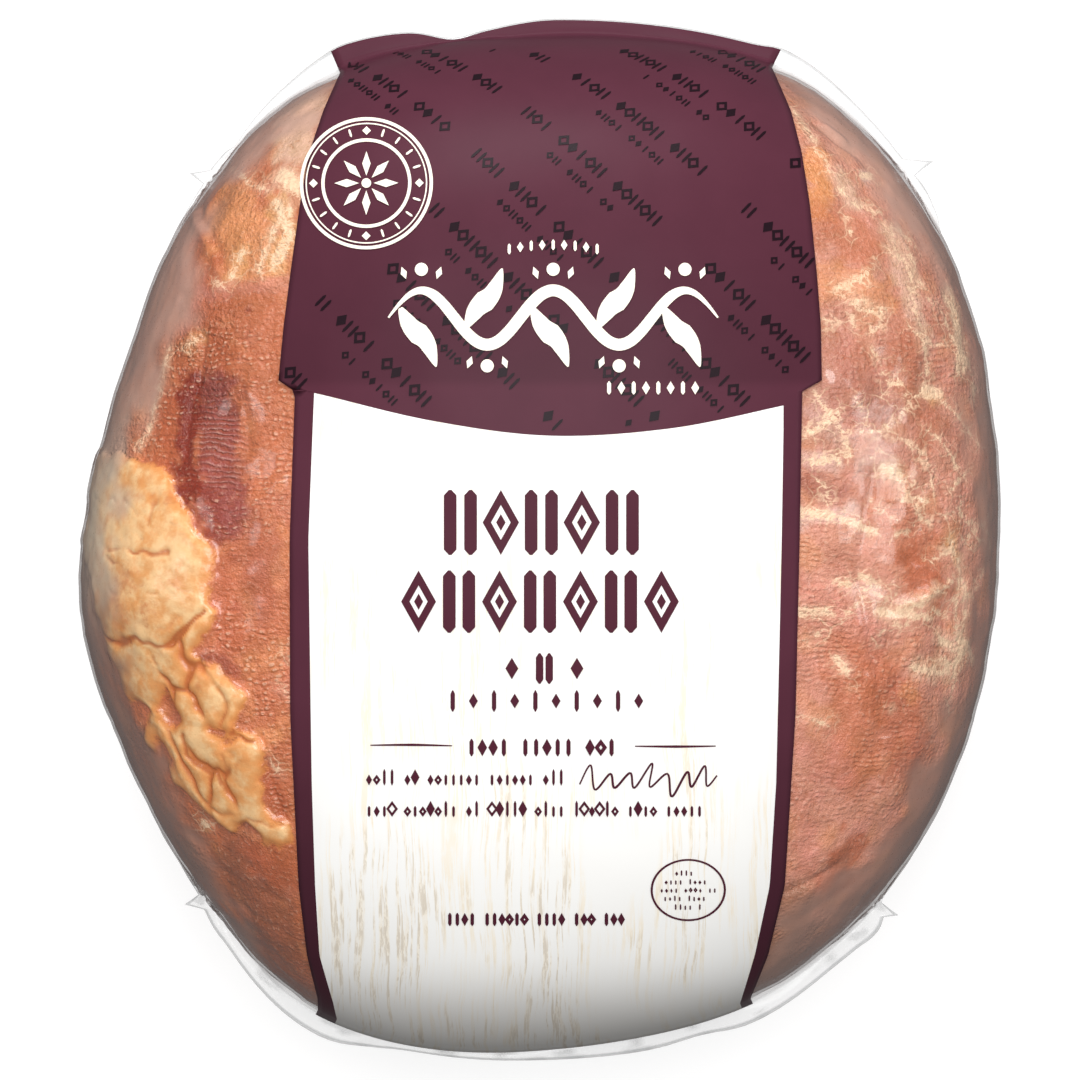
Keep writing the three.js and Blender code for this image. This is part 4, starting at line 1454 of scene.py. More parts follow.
def rim_y(x, top):
    """The oval's y at an x."""
    angle = np.linspace(1, 179, 1440) if top else np.linspace(181, 359, 1440)
    reach = oval(angle)
    along = reach * np.cos(np.radians(angle))
    order = np.argsort(along)
    return np.interp(x, along[order], (reach * np.sin(np.radians(angle)))[order])


def band_x(share, y):
    """The x of a column of the front band, share 0 to 3 from its left edge over both stripes."""
    inner = np.array(STRIPES)[::-1]
    places = [half_band(y, 1), np.interp(y, inner[:, 0], inner[:, 1]),
              np.interp(y, inner[:, 0], inner[:, 2]), half_band(y, 2)]
    if y > STRIPES[0][0]:
        places[1] = places[0] + STRIPE_WIDTH
        places[2] = places[3] - STRIPE_WIDTH
    return float(np.interp(share, [0, 1, 2, 3], places))


def front_column(share):
    """A column of the front band from its upper end to its lower one, as plan view points."""
    x, y = band_x(share, 105.0), 0.0
    for _ in range(6):
        y = float(rim_y(x, True))
        x = band_x(share, y)
    edge_angle = math.degrees(math.atan2(y, x))
    points = []
    reach = float(seal_reach(np.array([edge_angle]))[0]) - PRINT_INSET
    for step in range(TOP_SEAL_ROWS):
        out = reach * (1 - step / TOP_SEAL_ROWS)
        stretch = 1 + out / math.hypot(x, y)
        points.append((x * stretch, y * stretch))
    top = y
    last = math.acos((FLAP_END / top) ** (1 / PROFILE_POWER))
    for step in range(FLAP_ROWS + 1):
        level = top * math.cos(last * step / FLAP_ROWS) ** PROFILE_POWER
        points.append((band_x(share, level), level))
    bend = float(np.interp(band_x(share, 30.0), ARC_LINE[:, 0], ARC_LINE[:, 1]))
    for step in range(ARC_ROWS + 1):
        level = PANEL_TOP + (bend - PANEL_TOP) * step / ARC_ROWS
        points.append((band_x(share, level), level))
    x, bottom = band_x(share, -108.0), -115.0
    for _ in range(6):
        bottom = float(rim_y(x, False))
        x = band_x(share, bottom)
    first = math.asin(bend / -bottom)
    for step in range(1, PANEL_ROWS + 1):
        turn = first + (-math.pi / 2 - first) * step / PANEL_ROWS
        level = -bottom * math.copysign(abs(math.sin(turn)) ** PROFILE_POWER, math.sin(turn))
        if step < PANEL_ROWS / 3:
            plain = bend + (bottom - bend) * step / PANEL_ROWS
            level = plain + (level - plain) * smooth(0, 1, 3 * step / PANEL_ROWS)
        points.append((band_x(share, level), float(level)))
    for step in range(1, END_ROWS + 1):
        stretch = 1 + PRINT_OVER_SEAL * step / END_ROWS / math.hypot(x, bottom)
        points.append((x * stretch, bottom * stretch))
    return points


def grid_sheet(name, columns, rows):
    """A grid primitive with each vertex's column and row."""
    deselect()
    bpy.ops.mesh.primitive_grid_add(x_subdivisions=columns, y_subdivisions=rows, size=2)
    sheet = started(name)
    flat = coordinates(sheet)
    column = np.rint((flat[:, 0] + 1) / 2 * columns).astype(int)
    row = np.rint((1 - flat[:, 1]) / 2 * rows).astype(int)
    return sheet, column, row


def column_shares():
    stripe = np.linspace(0, 1, STRIPE_COLUMNS + 1)
    panel = np.linspace(1, 2, PANEL_COLUMNS + 1)[1:]
    return np.concatenate([stripe, panel, stripe[1:] + 2])


def two_tone(sheet, look, inside):
    """Gives the sheet the maroon print, and the wood print on faces whose corners are inside."""
    sheet.data.materials.append(look["maroon"])
    sheet.data.materials.append(look["wood"])
    for face in sheet.data.polygons:
        face.material_index = int(inside[list(face.vertices)].all())


def thick_print(sheet, points):
    """Lays the sheet's outer face on the points and gives it thickness."""
    reshape(sheet, placed(points))
    shaded_smooth(sheet)
    apply_modifier(sheet, "SOLIDIFY", thickness=PRINT_THICKNESS * MM, offset=-1)
    return sheet


def add_print_front(look):
    """The band's front, as one sheet with a maroon flap, two stripes and the pale panel."""
    shares = column_shares()
    layout = np.array([front_column(share) for share in shares])
    rows = layout.shape[1] - 1
    sheet, column, row = grid_sheet("print_front", len(shares) - 1, rows)
    flat = layout[column, row]
    points = np.column_stack([flat, print_height(flat[:, 0], flat[:, 1])])
    arc_row = TOP_SEAL_ROWS + FLAP_ROWS + ARC_ROWS + 1
    inside = (column >= STRIPE_COLUMNS) & (column <= STRIPE_COLUMNS + PANEL_COLUMNS)
    two_tone(sheet, look, inside & (row >= arc_row))
    return thick_print(sheet, points)


def add_print_back(look):
    """The band's back: a maroon border round a pale panel."""
    sheet, column, row = grid_sheet("print_back", BACK_COLUMNS, BACK_ROWS)
    top, bottom = math.asin(BACK_TOP_SHARE), -math.asin(BACK_BOTTOM_SHARE)
    turn = top + (bottom - top) * row / BACK_ROWS
    across = column / BACK_COLUMNS * 2 - 1
    level = np.sign(turn) * np.abs(np.sin(turn)) ** PROFILE_POWER
    half = back_band(np.clip(level * HALF_LENGTH_TOP, BACK_BAND_BOTTOM, BACK_BAND_TOP))
    x = -across * half
    y = np.where(level > 0, level * rim_y(x, True), -level * rim_y(x, False))
    height = skin_height(x, y, BACK_OUTER, shown=False)
    points = np.column_stack([x, y, np.minimum(height, -BACK_OUTER)])
    inside = (column >= BACK_BORDER) & (column <= BACK_COLUMNS - BACK_BORDER)
    inside &= (row >= BACK_FLAP_ROWS) & (row <= BACK_ROWS - BACK_END_ROWS)
    two_tone(sheet, look, inside)
    return thick_print(sheet, points)


# ---- Printed shapes ------------------------------------------------------------------------------

INK_LIFT = 0.03
LAYER_LIFT = 0.006
LAYERS = 16
INK_THICKNESS = 0.06
LONGEST_EDGE = 1.8


class Ink:
    """Flat shapes drawn in plan view, joined into one piece and laid on the printed film.

    Each shape is modelled once and then copied to its places.
    """

    def __init__(self, name, bend=None):
        self.name = name
        self.parts = []
        self.patterns = {}
        self.bend = bend

    def _put(self, key, make, x, y, turn):
        """A copy of a pattern at a place. The pattern is made the first time."""
        if key not in self.patterns:
            self.patterns[key] = make()
        pattern = self.patterns[key]
        piece = pattern.copy()
        piece.data = pattern.data.copy()
        bpy.context.scene.collection.objects.link(piece)
        flat = coordinates(piece)
        swing = math.radians(turn)
        cos, sin = math.cos(swing), math.sin(swing)
        moved = np.column_stack([flat[:, 0] * cos - flat[:, 1] * sin + x,
                                 flat[:, 0] * sin + flat[:, 1] * cos + y, 0 * flat[:, 0]])
        if self.bend:
            moved[:, 0], moved[:, 1] = self.bend(moved[:, 0], moved[:, 1])
        reshape(piece, moved)
        self.parts.append(piece)

    def disc(self, x, y, radius, vertices=24, turn=0.0, stretch=1.0):
        def make():
            deselect()
            bpy.ops.mesh.primitive_circle_add(vertices=vertices, radius=radius, fill_type="TRIFAN")
            piece = started("pattern")
            reshape(piece, coordinates(piece) * (1, stretch, 1))
            return piece
        self._put(("disc", radius, vertices, stretch), make, x, y, turn)

    def ring(self, x, y, radius, width, vertices=72, turn=0.0, stretch=1.0):
        """A ring or, with few vertices, the outline of a polygon."""
        def make():
            deselect()
            bpy.ops.mesh.primitive_circle_add(vertices=vertices, radius=radius, fill_type="NOTHING")
            piece = started("pattern")
            bpy.ops.object.mode_set(mode="EDIT")
            bpy.ops.mesh.select_all(action="SELECT")
            bpy.ops.mesh.extrude_edges_move()
            inner = 1 - width / radius
            bpy.ops.transform.resize(value=(inner, inner, 1), center_override=(0, 0, 0))
            bpy.ops.object.mode_set(mode="OBJECT")
            reshape(piece, coordinates(piece) * (1, stretch, 1))
            return piece
        self._put(("ring", radius, width, vertices, stretch), make, x, y, turn)

    def ribbon(self, path, widths, steps=40):
        """A stroke along a smooth path, as wide as its widths say along the way."""
        line = spline(path, steps)
        half = np.interp(np.linspace(0, 1, steps + 1), np.linspace(0, 1, len(widths)), widths) / 2
        way = np.gradient(line, axis=0)
        way /= np.linalg.norm(way, axis=1)[:, None]
        square = np.column_stack([-way[:, 1], way[:, 0]])
        sheet, column, row = grid_sheet("stroke", steps, 2)
        points = line[column] + square[column] * (half[column] * (1 - row))[:, None]
        reshape(sheet, np.column_stack([points, 0 * points[:, 0]]))
        self.parts.append(sheet)

    def dash(self, x, y, length, width, turn=0.0):
        """A bar with round ends."""
        steps = max(6, int(length / LONGEST_EDGE) + 4)

        def make():
            sheet, column, row = grid_sheet("pattern", steps, 2)
            half = width / 2
            along = (column / steps - 0.5) * length
            short = np.clip((np.abs(along) - (length / 2 - half)) / half, 0, 1)
            across = half * np.sqrt(1 - 0.96 * short**2) * (1 - row)
            reshape(sheet, np.column_stack([along, across, 0 * along]))
            return sheet
        self._put(("dash", round(length, 2), width), make, x, y, turn)

    def lozenge(self, x, y, width, height, turn=0.0):
        self.disc(x, y, width / 2, 4, turn, height / width)

    def laid(self, height, material, back=False):
        """Joins the shapes, cuts long edges, lays them on the film and gives them thickness."""
        for index, part in enumerate(self.parts):
            store(part, "layer", np.full(len(part.data.vertices), index % LAYERS))
        deselect()
        for part in self.parts:
            part.select_set(True)
        bpy.context.view_layer.objects.active = self.parts[0]
        bpy.ops.object.join()
        piece = bpy.context.object
        piece.name = piece.data.name = self.name
        for pattern in self.patterns.values():
            bpy.data.objects.remove(pattern)
        for _ in range(3):
            if not self._cut_long_edges(piece):
                break
        flat = coordinates(piece)
        layer = np.empty(len(flat), np.float32)
        piece.data.attributes["layer"].data.foreach_get("value", layer)
        piece.data.attributes.remove(piece.data.attributes["layer"])
        lift = 0.0 if back else LAYER_LIFT * layer
        z = height(flat[:, 0], flat[:, 1]) + lift
        reshape(piece, placed(np.column_stack([flat[:, :2], z])))
        self._face(piece, -1.0 if back else 1.0)
        piece.data.materials.clear()
        piece.data.materials.append(material)
        apply_modifier(piece, "SOLIDIFY", thickness=INK_THICKNESS * MM, offset=1)
        activate(piece)
        bpy.ops.object.shade_smooth_by_angle(angle=math.radians(30))
        return piece

    def _cut_long_edges(self, piece):
        flat = coordinates(piece)
        ends = np.empty(len(piece.data.edges) * 2, int)
        piece.data.edges.foreach_get("vertices", ends)
        ends = ends.reshape(-1, 2)
        length = np.linalg.norm(flat[ends[:, 0]] - flat[ends[:, 1]], axis=1)
        long = length > LONGEST_EDGE
        if not long.any():
            return False
        edited(piece, False, long, bpy.ops.mesh.subdivide, number_cuts=1)
        return True

    def _face(self, piece, way):
        """Turns every face to look up, or down on the back."""
        piece.data.update()
        mesh = piece.data
        normals = np.empty(len(mesh.polygons) * 3)
        mesh.polygons.foreach_get("normal", normals)
        wrong = normals.reshape(-1, 3)[:, 2] * way < 0
        if wrong.any():
            edited(piece, True, wrong, bpy.ops.mesh.flip_normals)


EMBLEM = (-39.6, 81.4)
EMBLEM_RADIUS = 15.2
VINE = (3.0, 50.6)

# Rows of small marks by the vine: middle x and y, count, pitch, bow, width, height, stroke.
MARK_ROWS = (
    (3.0, 67.2, 9, 2.5, 0.06, 1.5, 2.4, 0.7),
    (25.5, 34.6, 8, 2.8, 0.0, 1.8, 3.0, 0.9),
)

# The flap's pattern: where its middle row starts, its slant and how far apart its rows are.
ROW_START = (-10.4, 63.4)
ROW_SLANT = -44.0
ROW_PITCH = 16.8
UNIT_PITCH = 55.0
MARK_ORDER = ("lozenge", "twin", "gap", "diamond", "lozenge", "twin", "lozenge", "twin", "gap",
              "diamond", "twin", "lozenge", "bar", "gap", "lozenge", "diamond", "bar")


# Rows of bold shapes on the panel: middle x and y, height, stroke, pitch, kinds.
HEADLINES = (
    (0.3, 4.0, 14.8, 2.9, 9.2, ("pair", "frame", "pair", "frame", "pair")),
    (0.0, -14.0, 14.2, 2.9, 9.2, ("frame", "pair", "frame", "pair", "frame", "pair", "frame")),
    (1.0, -29.2, 7.0, 1.7, 7.4, ("solid", "pair", "solid")),
    (1.3, -36.6, 4.9, 1.0, 4.7, ("bar", "solid") * 5),
)


def ink_height(x, y):
    return print_height(x, y) + INK_LIFT


def cream_height(x, y):
    """Above the dark pattern, which the cream shapes are printed over."""
    return ink_height(x, y) + INK_THICKNESS + LAYERS * LAYER_LIFT


def add_emblem(material):
    """A round badge: a heavy ring, a fine ring, a ring of beads and a rosette."""
    ink = Ink("badge")
    x, y = EMBLEM
    ink.ring(x, y, EMBLEM_RADIUS, 0.75, 96)
    ink.ring(x, y, 13.9, 0.3, 96)
    ink.ring(x, y, 10.3, 0.75, 72)

    def about(radius, turn):
        swing = math.radians(turn)
        return x + radius * math.cos(swing), y + radius * math.sin(swing)

    beads = 20
    for index in range(beads):
        turn = 360 / beads * index
        if index % 5 == 0:
            ink.lozenge(*about(12.1, turn), 2.0, 2.0, turn)
        else:
            ink.dash(*about(12.1, turn), 1.9, 0.5, turn)
    for turn in range(0, 360, 45):
        ink.lozenge(*about(4.5, turn), 5.6, 1.9, turn)
    ink.disc(x, y, 1.1, 20)
    return ink.laid(cream_height, material)


def add_ornament(material):
    """A leafy vine along the middle of the flap, between two short rows of small marks."""
    ink = Ink("vine_ornament")
    x, y = VINE
    wave, swell, bends = 15.0, 6.2, 5
    half = wave * bends / 2
    stem = []
    for step in range(bends * 6 + 1):
        at = -half + step * 2.5
        stem.append((x + at, y + swell * math.cos(math.pi * at / wave)))
    ink.ribbon(stem, (0.4, 2.3, 2.7, 2.7, 2.7, 2.7, 2.3, 0.4), 150)
    for index in range(bends):
        at = (index - (bends - 1) / 2) * wave
        up = 1 if index % 2 == 0 else -1
        ink.ribbon([(x + at - 4.8, y + up * 2.2), (x + at - 2.4, y - up * 2.0),
                    (x + at + 1.2, y - up * 5.6), (x + at + 3.4, y - up * 11.2)],
                   (0.9, 3.6, 5.0, 3.4, 0.3), 24)
        ink.disc(x + at, y + up * 11.0, 1.5, 20)
        for side in (-1, 1):
            ink.lozenge(x + at + side * 4.0, y + up * 10.2, 1.5, 3.0, side * up * -20)
    for left, top, count, pitch, bow, width, height, stroke in MARK_ROWS:
        for index in range(count):
            off = index - (count - 1) / 2
            at, level = left + off * pitch, top - bow * off**2
            if index % 2:
                ink.lozenge(at, level, width, height)
            else:
                ink.dash(at, level, height, stroke, 90)
    return ink.laid(cream_height, material)


def arc_table(steps=400):
    """Heights up the flap's middle by length along the film from the seal plane's middle."""
    places = np.linspace(-10, 114, steps)
    height = print_height(0 * places, places)
    length = np.concatenate([[0], np.cumsum(np.hypot(np.diff(places), np.diff(height)))])
    return length - np.interp(0, places, length), places


def add_repeat(material):
    """The dark pattern over the flap: slanting rows of small lozenges, bars and dots."""
    length, place = arc_table()

    def bend(u, v):
        y = np.interp(v, length, place)
        return u * (1 - 0.0012 * np.maximum(y - 60, 0)), y

    ink = Ink("flap_pattern", bend)
    swing = math.radians(ROW_SLANT)
    along = np.array([math.cos(swing), math.sin(swing)])
    across = np.array([-math.sin(swing), math.cos(swing)])

    def allowed(u, v):
        x, y = bend(u, v)
        if y > 112.5 or y < np.interp(x, ARC_LINE[:, 0], ARC_LINE[:, 1]) + 1.6:
            return False
        if not half_band(y, 1) + 1.4 < x < half_band(y, 2) - 1.4:
            return False
        return math.hypot(x - EMBLEM[0], y - EMBLEM[1]) > EMBLEM_RADIUS + 1.2

    def row(middle, count, pitch, size, stroke, first):
        for index in range(count):
            step = index - (count - 1) / 2
            u, v = middle + along * pitch * step
            kind = MARK_ORDER[(index + first) % len(MARK_ORDER)]
            if kind == "gap" or not allowed(u, v):
                continue
            if kind == "lozenge":
                ink.ring(u, v, size * 0.46, stroke * 1.3, 4, ROW_SLANT, 1.15)
            elif kind == "twin":
                for side in (-1, 1):
                    beside = middle + along * (pitch * step + side * size * 0.24)
                    ink.dash(*beside, size, stroke, ROW_SLANT + 90)
            elif kind == "diamond":
                ink.lozenge(u, v, size * 0.7, size, ROW_SLANT)
            else:
                ink.dash(u, v, size, stroke, ROW_SLANT + 90)

    for line in range(-5, 8):
        for step in range(-2, 3):
            middle = np.array(ROW_START) + across * line * ROW_PITCH
            middle = middle + along * step * UNIT_PITCH
            row(middle, 16, 2.9, 3.6, 0.66, 3 * step + 5 * line)
            row(middle - across * 5.2, 10, 2.15, 2.2, 0.48, 2 * step + 3 * line)
    return ink.laid(ink_height, material)


def add_headlines(material):
    """Rows of bold maroon shapes down the pale panel."""
    ink = Ink("panel_ornament")

    def tall(x, y, height, kind, stroke):
        width = height * 0.56
        if kind == "frame":
            ink.ring(x, y, width / 2, stroke * 0.66, 4, 0, height / width)
            ink.lozenge(x, y, width * 0.26, height * 0.26)
        elif kind == "pair":
            ink.dash(x - width * 0.28, y, height, stroke, 90)
            ink.dash(x + width * 0.28, y, height, stroke, 90)
        elif kind == "bar":
            ink.dash(x, y, height, stroke, 90)
        else:
            ink.lozenge(x, y, width * 0.75, height * 0.7)

    for x, y, height, stroke, pitch, kinds in HEADLINES:
        for index, kind in enumerate(kinds):
            tall(x + (index - (len(kinds) - 1) / 2) * pitch, y, height, kind, stroke)
    return ink.laid(ink_height, material)


def add_small_print(material):
    """Rules, rows of fine dashes and an oval on the pale panel."""
    ink = Ink("panel_dashes")
    rng = np.random.default_rng(5)

    def marks_row(left, right, y, pitch, height, low, stroke):
        """Small upright marks in groups, low ones standing on the same line as the tall ones."""
        count, until_gap = int((right - left) / pitch), 4
        for index in range(count):
            until_gap -= 1
            if until_gap < 0:
                until_gap = rng.integers(2, 8)
                continue
            at = left + (index + 0.5) * pitch
            tall = low if rng.random() < 0.62 else height
            middle = y - height / 2 + tall / 2
            kind = rng.integers(4)
            if kind < 2:
                ink.dash(at, middle, tall, stroke, 90)
            elif kind == 2:
                ink.ring(at, middle, tall * 0.36, stroke * 1.1, 4, 0, 1.35)
            else:
                ink.lozenge(at, middle, tall * 0.55, tall)

    ink.ribbon([(-38.6, -46.7), (-29, -46.6), (-20, -46.8)], (0.25, 0.6, 0.25), 16)
    ink.ribbon([(21.6, -46.9), (31, -47.0), (40, -46.9)], (0.25, 0.6, 0.25), 16)
    marks_row(-16.8, 17.7, -47.2, 2.45, 4.0, 4.0, 0.95)
    marks_row(-39.8, 6.4, -54.0, 1.75, 3.7, 2.5, 0.6)
    ink.ribbon([(9, -55.6), (11.5, -51.2), (12.5, -56.8), (16, -53.2), (17, -56.4), (20.5, -53.0),
                (21.5, -56.4), (25.5, -50.8), (25, -56.2), (29, -53.2), (30, -58.4), (33.5, -52.8),
                (34.5, -56.2), (37.5, -51.4), (38, -56.0), (40.3, -53.6)],
               (0.35, 0.55, 0.4, 0.55, 0.35), 130)
    marks_row(-39.8, 40.2, -61.2, 1.75, 3.7, 2.5, 0.6)
    marks_row(-21.4, 21.0, -86.5, 1.7, 3.0, 3.0, 0.8)
    ink.ring(33.8, -79.8, 8.6, 0.5, 72, 0, 0.83)
    for offset, half in ((3.9, 3.2), (1.9, 5.6), (0.0, 6.6), (-1.9, 5.8), (-3.9, 3.4)):
        marks_row(33.8 - half, 33.8 + half, -79.8 + offset, 1.1, 1.3, 1.0, 0.35)
    return ink.laid(ink_height, material)


def add_back_print(material):
    """Blocks of fine dashes on the back panel."""
    ink = Ink("back_dashes")
    rng = np.random.default_rng(9)

    def line(left, right, y, width):
        at = left
        while at < right - 1.5:
            length = min(rng.uniform(1.5, 6.0), right - at)
            ink.dash(at + length / 2, y, length, width)
            at += length + 1.3

    for index in range(9):
        line(-34, 34 if index % 3 else 18, 46 - 4.2 * index, 0.8)
    for x, y, width, height in ((-17, -32, 32, 52), (19, -32, 26, 30)):
        for side in (-1, 1):
            ink.dash(x + side * width / 2, y, height, 0.5, 90)
            ink.dash(x, y + side * height / 2, width, 0.5)
        for index in range(int(height / 5) - 1):
            line(x - width / 2 + 2, x + width / 2 - 3, y + height / 2 - 5 * (index + 1), 0.9)
    ink.lozenge(19, -58, 8, 8)
    ink.ring(19, -58, 7.5, 0.6, 4)

    def height(x, y):
        return skin_height(x, y, BACK_OUTER + INK_LIFT - INK_THICKNESS, shown=False)

    return ink.laid(height, material, back=True)


# ---- Stage ---------------------------------------------------------------------------------------

LENS = 800.0
SENSOR = 36.0
VIEW_WIDTH = 248.4 * MM
SUN_POWER = 2.62
SUN_SPREAD = 35
SUN_TILT = -12
FLOOR_TONE = 0.32
FLOOR_GLOW = 0.78
WORLD_GLOW = 0.22

# Lamps: name, place, size, power.
LAMPS = (
    ("key", (0.05, 0.68, 1.4), 0.4, 0.5),
    ("low_key", (-0.1, 1.35, 0.66), 0.5, 12.0),
    ("left", (-1.3, 0.1, 0.8), 0.34, 1.5),
    ("right", (1.3, 0.1, 0.8), 0.45, 2.9),
)


def add_light(name, place, size, power):
    """A square soft light that looks at the pack."""
    lamp = bpy.data.lights.new(name, "AREA")
    lamp.shape = "SQUARE"
    lamp.size = size
    lamp.energy = power
    light = bpy.data.objects.new(name, lamp)
    bpy.context.scene.collection.objects.link(light)
    way = np.array([0.0, 0.0, SEAL_HEIGHT * MM]) - np.array(place)
    light.location = place
    light.rotation_mode = "QUATERNION"
    light.rotation_quaternion = Vector(way).to_track_quat("-Z", "Y")
    light.visible_camera = False


def add_stage():
    """The pale floor, the soft lights and the camera that looks straight down."""
    deselect()
    bpy.ops.mesh.primitive_plane_add(size=30)
    floor = started("floor")
    material, nodes, surface, _ = new_material("floor")
    finish = {"Base Color": (FLOOR_TONE, FLOOR_TONE, FLOOR_TONE, 1), "Emission Color": (1, 1, 1, 1),
              "Emission Strength": FLOOR_GLOW, "Roughness": 0.9, "Specular IOR Level": 0.1}
    for socket, value in finish.items():
        nodes.join(value, surface, socket)
    floor.data.materials.append(material)

    floor.visible_diffuse = False
    floor.visible_glossy = False
    world = bpy.data.worlds.new("studio")
    bpy.context.scene.world = world
    world.use_nodes = True
    glow = world.node_tree.nodes["Background"]
    glow.inputs["Color"].default_value = (1, 1, 1, 1)
    glow.inputs["Strength"].default_value = WORLD_GLOW

    sun = bpy.data.lights.new("overhead", "SUN")
    sun.energy = SUN_POWER
    sun.angle = math.radians(SUN_SPREAD)
    overhead = bpy.data.objects.new("overhead", sun)
    bpy.context.scene.collection.objects.link(overhead)
    overhead.rotation_euler = (math.radians(SUN_TILT), 0, 0)
    overhead.visible_camera = False
    for lamp in LAMPS:
        add_light(*lamp)

    camera_data = bpy.data.cameras.new("camera")
    camera_data.lens = LENS
    camera_data.sensor_width = SENSOR
    camera = bpy.data.objects.new("camera", camera_data)
    bpy.context.scene.collection.objects.link(camera)
    distance = VIEW_WIDTH * LENS / SENSOR
    camera.location = (*placed([(0, 0, 0)])[0][:2], SEAL_HEIGHT * MM + distance)
    camera_data.clip_end = 100
    bpy.context.scene.camera = camera
    bpy.context.scene.view_settings.view_transform = "Standard"


# ---- Properties, operators and panel -------------------------------------------------------------


def colour_property(name, description, screen):
    return FloatVectorProperty(name=name, description=description, subtype="COLOR", size=3,
                               min=0.0, max=1.0, default=from_screen(*screen))


class PackedHamSizes(bpy.types.PropertyGroup):
    film_gap: FloatProperty(name="Film gap", description="Distance of the clear film from the meat",
                            default=0.3 * MM, min=0.1 * MM, max=0.6 * MM, unit="LENGTH", precision=5)
    relief: FloatProperty(name="Relief", description="Strength of the meat's small bumps",
                          default=1.0, min=0.0, max=2.0, subtype="FACTOR")


class PackedHamColours(bpy.types.PropertyGroup):
    amber: colour_property("Amber", "Light glazed meat", (240, 158, 104))
    orange: colour_property("Orange", "Glazed meat", (206, 116, 76))
    rust: colour_property("Rust", "Well roasted meat", (192, 98, 60))
    # Redder meat in the net's furrows, with painted shade.
    furrow_red_and_shade: colour_property("Furrow", "Furrows that the net left", (168, 82, 50))
    deep: colour_property("Deep red", "Dark roasted seams", (138, 44, 24))
    brown: colour_property("Brown", "Meat at the ham's lower end", (154, 90, 66))
    mauve: colour_property("Mauve", "Purple pink muscle", (152, 70, 60))
    pink: colour_property("Pink", "Cured pink meat", (222, 150, 126))
    rose: colour_property("Rose", "Deeper pink meat", (214, 134, 114))
    pale: colour_property("Pale", "Pale fibres in the meat", (240, 196, 168))
    lilac: colour_property("Lilac", "Whitish pink tissue", (236, 186, 172))
    tissue: colour_property("Tissue", "Cream tissue over the meat", (255, 218, 180))
    gold: colour_property("Gold", "Yellow bits of fat", (246, 186, 110))
    tan: colour_property("Tan", "Shaded meat under the film", (176, 122, 98))
    fat: colour_property("Fat", "Cream fat", (227, 161, 99))
    # Browned fat, also used as painted shade low on the fat.
    fat_warm_and_shade: colour_property("Warm fat", "Browned fat", (222, 140, 76))
    # Painted highlight on the fat's crests.
    fat_pale_highlight: colour_property("Pale fat", "Palest fat", (243, 200, 146))
    stain: colour_property("Stain", "Brown stains in the fat", (200, 116, 58))
    # The creases' brown is partly browning and partly painted shade.
    crease: colour_property("Crease", "Brown in the fat's creases", (188, 100, 50))
    # The veil's colour is partly the film's haze, partly painted reflection and painted shade.
    veil_haze_and_shade: colour_property("Veil", "Meat seen through loose film", (160, 124, 110))
    # Painted light: the veil paler near the top seal.
    veil_painted_light: colour_property("High veil", "The veil near the top seal", (198, 158, 142))
    # Milky film with a painted sheen.
    milk_and_sheen: colour_property("Milky veil", "The veil over the fat's outer side", (214, 200, 178))
    film: colour_property("Film", "Clear film", (236, 236, 236))
    # Painted shade for the film where it turns away.
    film_rim_shade: colour_property("Film seen edge on", "The film where it turns away", (104, 74, 66))
    # Grey for the seals' edges, with painted shadow by the ham and painted shade along folds.
    film_edge_and_shadow: colour_property("Film edges", "Edges and folds of the clear film", (172, 174, 175))
    maroon: colour_property("Maroon", "Flap and stripes", (85, 44, 57))
    text: colour_property("Panel ink", "Shapes on the pale panel", (78, 34, 48))
    dark: colour_property("Dark ink", "Pattern on the flap", (32, 18, 25))
    cream: colour_property("Cream ink", "Ornament on the flap", (253, 244, 228))
    panel: colour_property("Panel", "White painted panel", (250, 249, 246))
    grain: colour_property("Grain", "Wood grain in the panel", (248, 236, 214))
    # Painted shade for the panel's lower end.
    painted_shade: colour_property("Shaded panel", "The panel's lower end", (150, 144, 138))
    worn: colour_property("Worn wood", "Bare wood low on the panel", (216, 206, 192))


def finish_piece(piece, slot, *nodes):
    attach(piece, BODY)
    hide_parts(*nodes)
    return piece


# Inks by use: material name, how worn, how shiny, whether they get painted shade low down.
INKS = {
    "maroon": ("maroon_print", 0.06, 0.05, True),
    "text": ("panel_print", 0.03, 0.05, False),
    "dark": ("dark_print", 0.03, 0.08, False),
    "cream": ("cream_print", 0.03, 0.05, False),
}


def print_materials(look):
    """The printed materials, which the band's front and back share."""
    found = {"wood": bpy.data.materials.get("painted_wood_print") or wood_material(look)}
    for use, (name, *settings) in INKS.items():
        found[use] = bpy.data.materials.get(name) or ink_material(name, getattr(look, use), *settings)
    return found


class PACKED_OT_ham(bpy.types.Operator):
    """Adds the boneless ham with its fat, seams and net marks"""
    bl_idname = "packed_ham.ham"
    bl_label = "Add Ham"

    def execute(self, context):
        look = context.scene.packed_ham_colours
        ham = add_ham(context.scene.packed_ham_sizes, look)
        ham.data.materials.append(ham_material(look))
        finish_piece(ham, "ham_in_film", "ham_in_bag")
        return {"FINISHED"}


class PACKED_OT_bag(bpy.types.Operator):
    """Adds the clear shrink bag with its flat end seals and ears"""
    bl_idname = "packed_ham.bag"
    bl_label = "Add Clear Bag"

    def execute(self, context):
        bag = add_bag(context.scene.packed_ham_sizes)
        bag.data.materials.append(film_material(context.scene.packed_ham_colours))
        finish_piece(bag, "clear_film", "ham_in_bag")
        return {"FINISHED"}


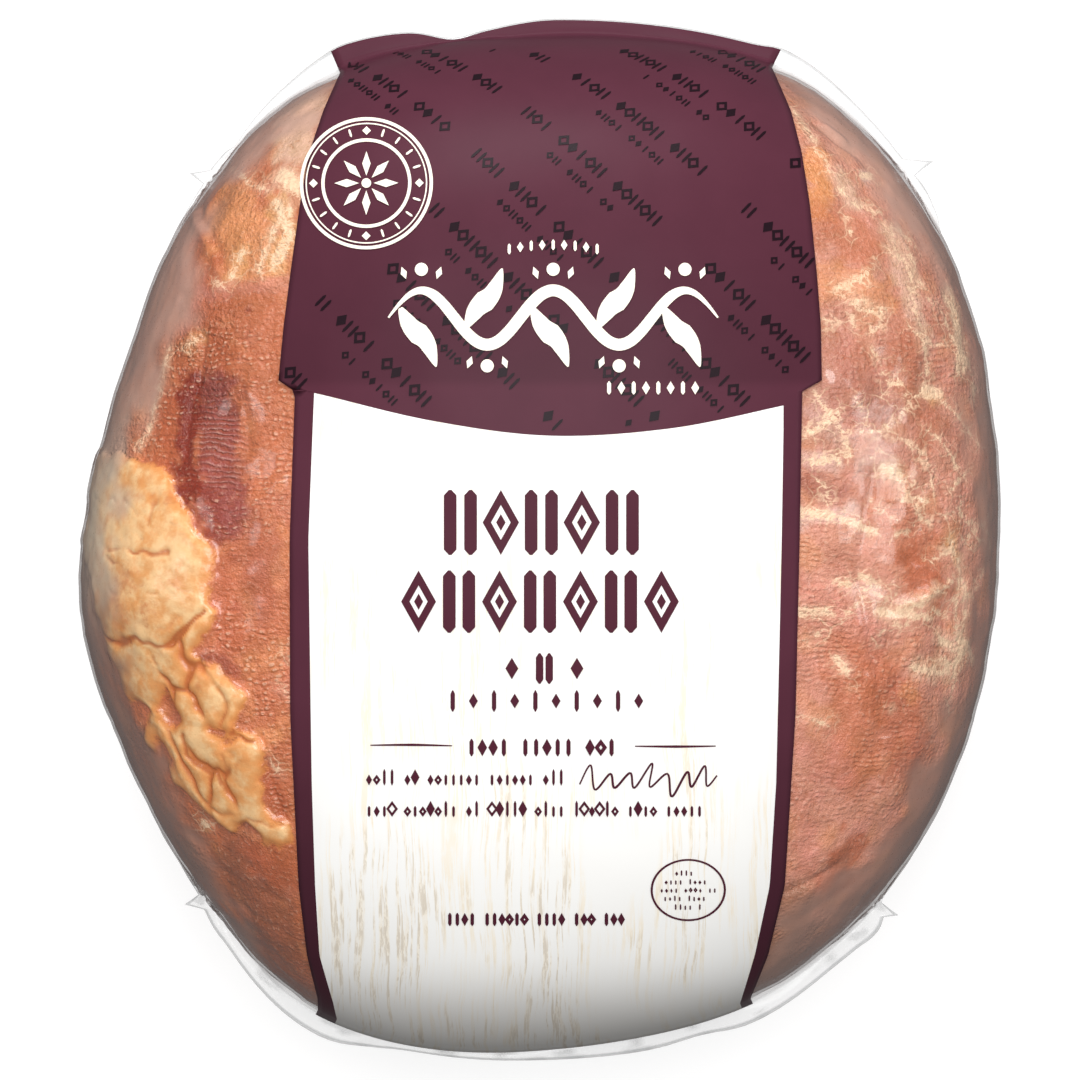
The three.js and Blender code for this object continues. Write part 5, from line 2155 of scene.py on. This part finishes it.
class PACKED_OT_front(bpy.types.Operator):
    """Adds the printed front of the band and the shapes printed on it"""
    bl_idname = "packed_ham.print_front"
    bl_label = "Add Printed Front"

    def execute(self, context):
        inks = print_materials(context.scene.packed_ham_colours)
        pieces = [
            add_print_front(inks),
            add_emblem(inks["cream"]),
            add_ornament(inks["cream"]),
            add_repeat(inks["dark"]),
            add_headlines(inks["text"]),
            add_small_print(inks["text"]),
        ]
        for piece in pieces:
            finish_piece(piece, "printed_film_front", "printed_front")
        return {"FINISHED"}


class PACKED_OT_back(bpy.types.Operator):
    """Adds the printed back of the band and the shapes printed on it"""
    bl_idname = "packed_ham.print_back"
    bl_label = "Add Printed Back"

    def execute(self, context):
        inks = print_materials(context.scene.packed_ham_colours)
        for piece in (add_print_back(inks), add_back_print(inks["text"])):
            finish_piece(piece, "printed_film_back", "printed_back")
        return {"FINISHED"}


class PACKED_OT_stage(bpy.types.Operator):
    """Adds the pale floor, the soft lights and the camera that looks straight down"""
    bl_idname = "packed_ham.stage"
    bl_label = "Add Stage"

    def execute(self, context):
        add_stage()
        return {"FINISHED"}


class PACKED_PT_panel(bpy.types.Panel):
    """Lists the pack's pieces, sizes and colours"""
    bl_label = "Packed Ham"
    bl_idname = "PACKED_PT_panel"
    bl_space_type = "VIEW_3D"
    bl_region_type = "UI"
    bl_category = "Packed Ham"

    def draw(self, context):
        for operator in OPERATORS:
            self.layout.operator(operator.bl_idname)
        for group in (context.scene.packed_ham_sizes, context.scene.packed_ham_colours):
            for name in group.__annotations__:
                self.layout.prop(group, name)


OPERATORS = (PACKED_OT_ham, PACKED_OT_bag, PACKED_OT_front, PACKED_OT_back, PACKED_OT_stage)
CLASSES = (PackedHamSizes, PackedHamColours, *OPERATORS, PACKED_PT_panel)


def register():
    for item in CLASSES:
        bpy.utils.register_class(item)
    bpy.types.Scene.packed_ham_sizes = PointerProperty(type=PackedHamSizes)
    bpy.types.Scene.packed_ham_colours = PointerProperty(type=PackedHamColours)


def unregister():
    del bpy.types.Scene.packed_ham_sizes
    del bpy.types.Scene.packed_ham_colours
    for item in reversed(CLASSES):
        bpy.utils.unregister_class(item)


def main():
    register()
    bpy.ops.packed_ham.ham()
    bpy.ops.packed_ham.bag()
    bpy.ops.packed_ham.print_front()
    bpy.ops.packed_ham.print_back()
    bpy.ops.packed_ham.stage()


if __name__ == "__main__":
    main()
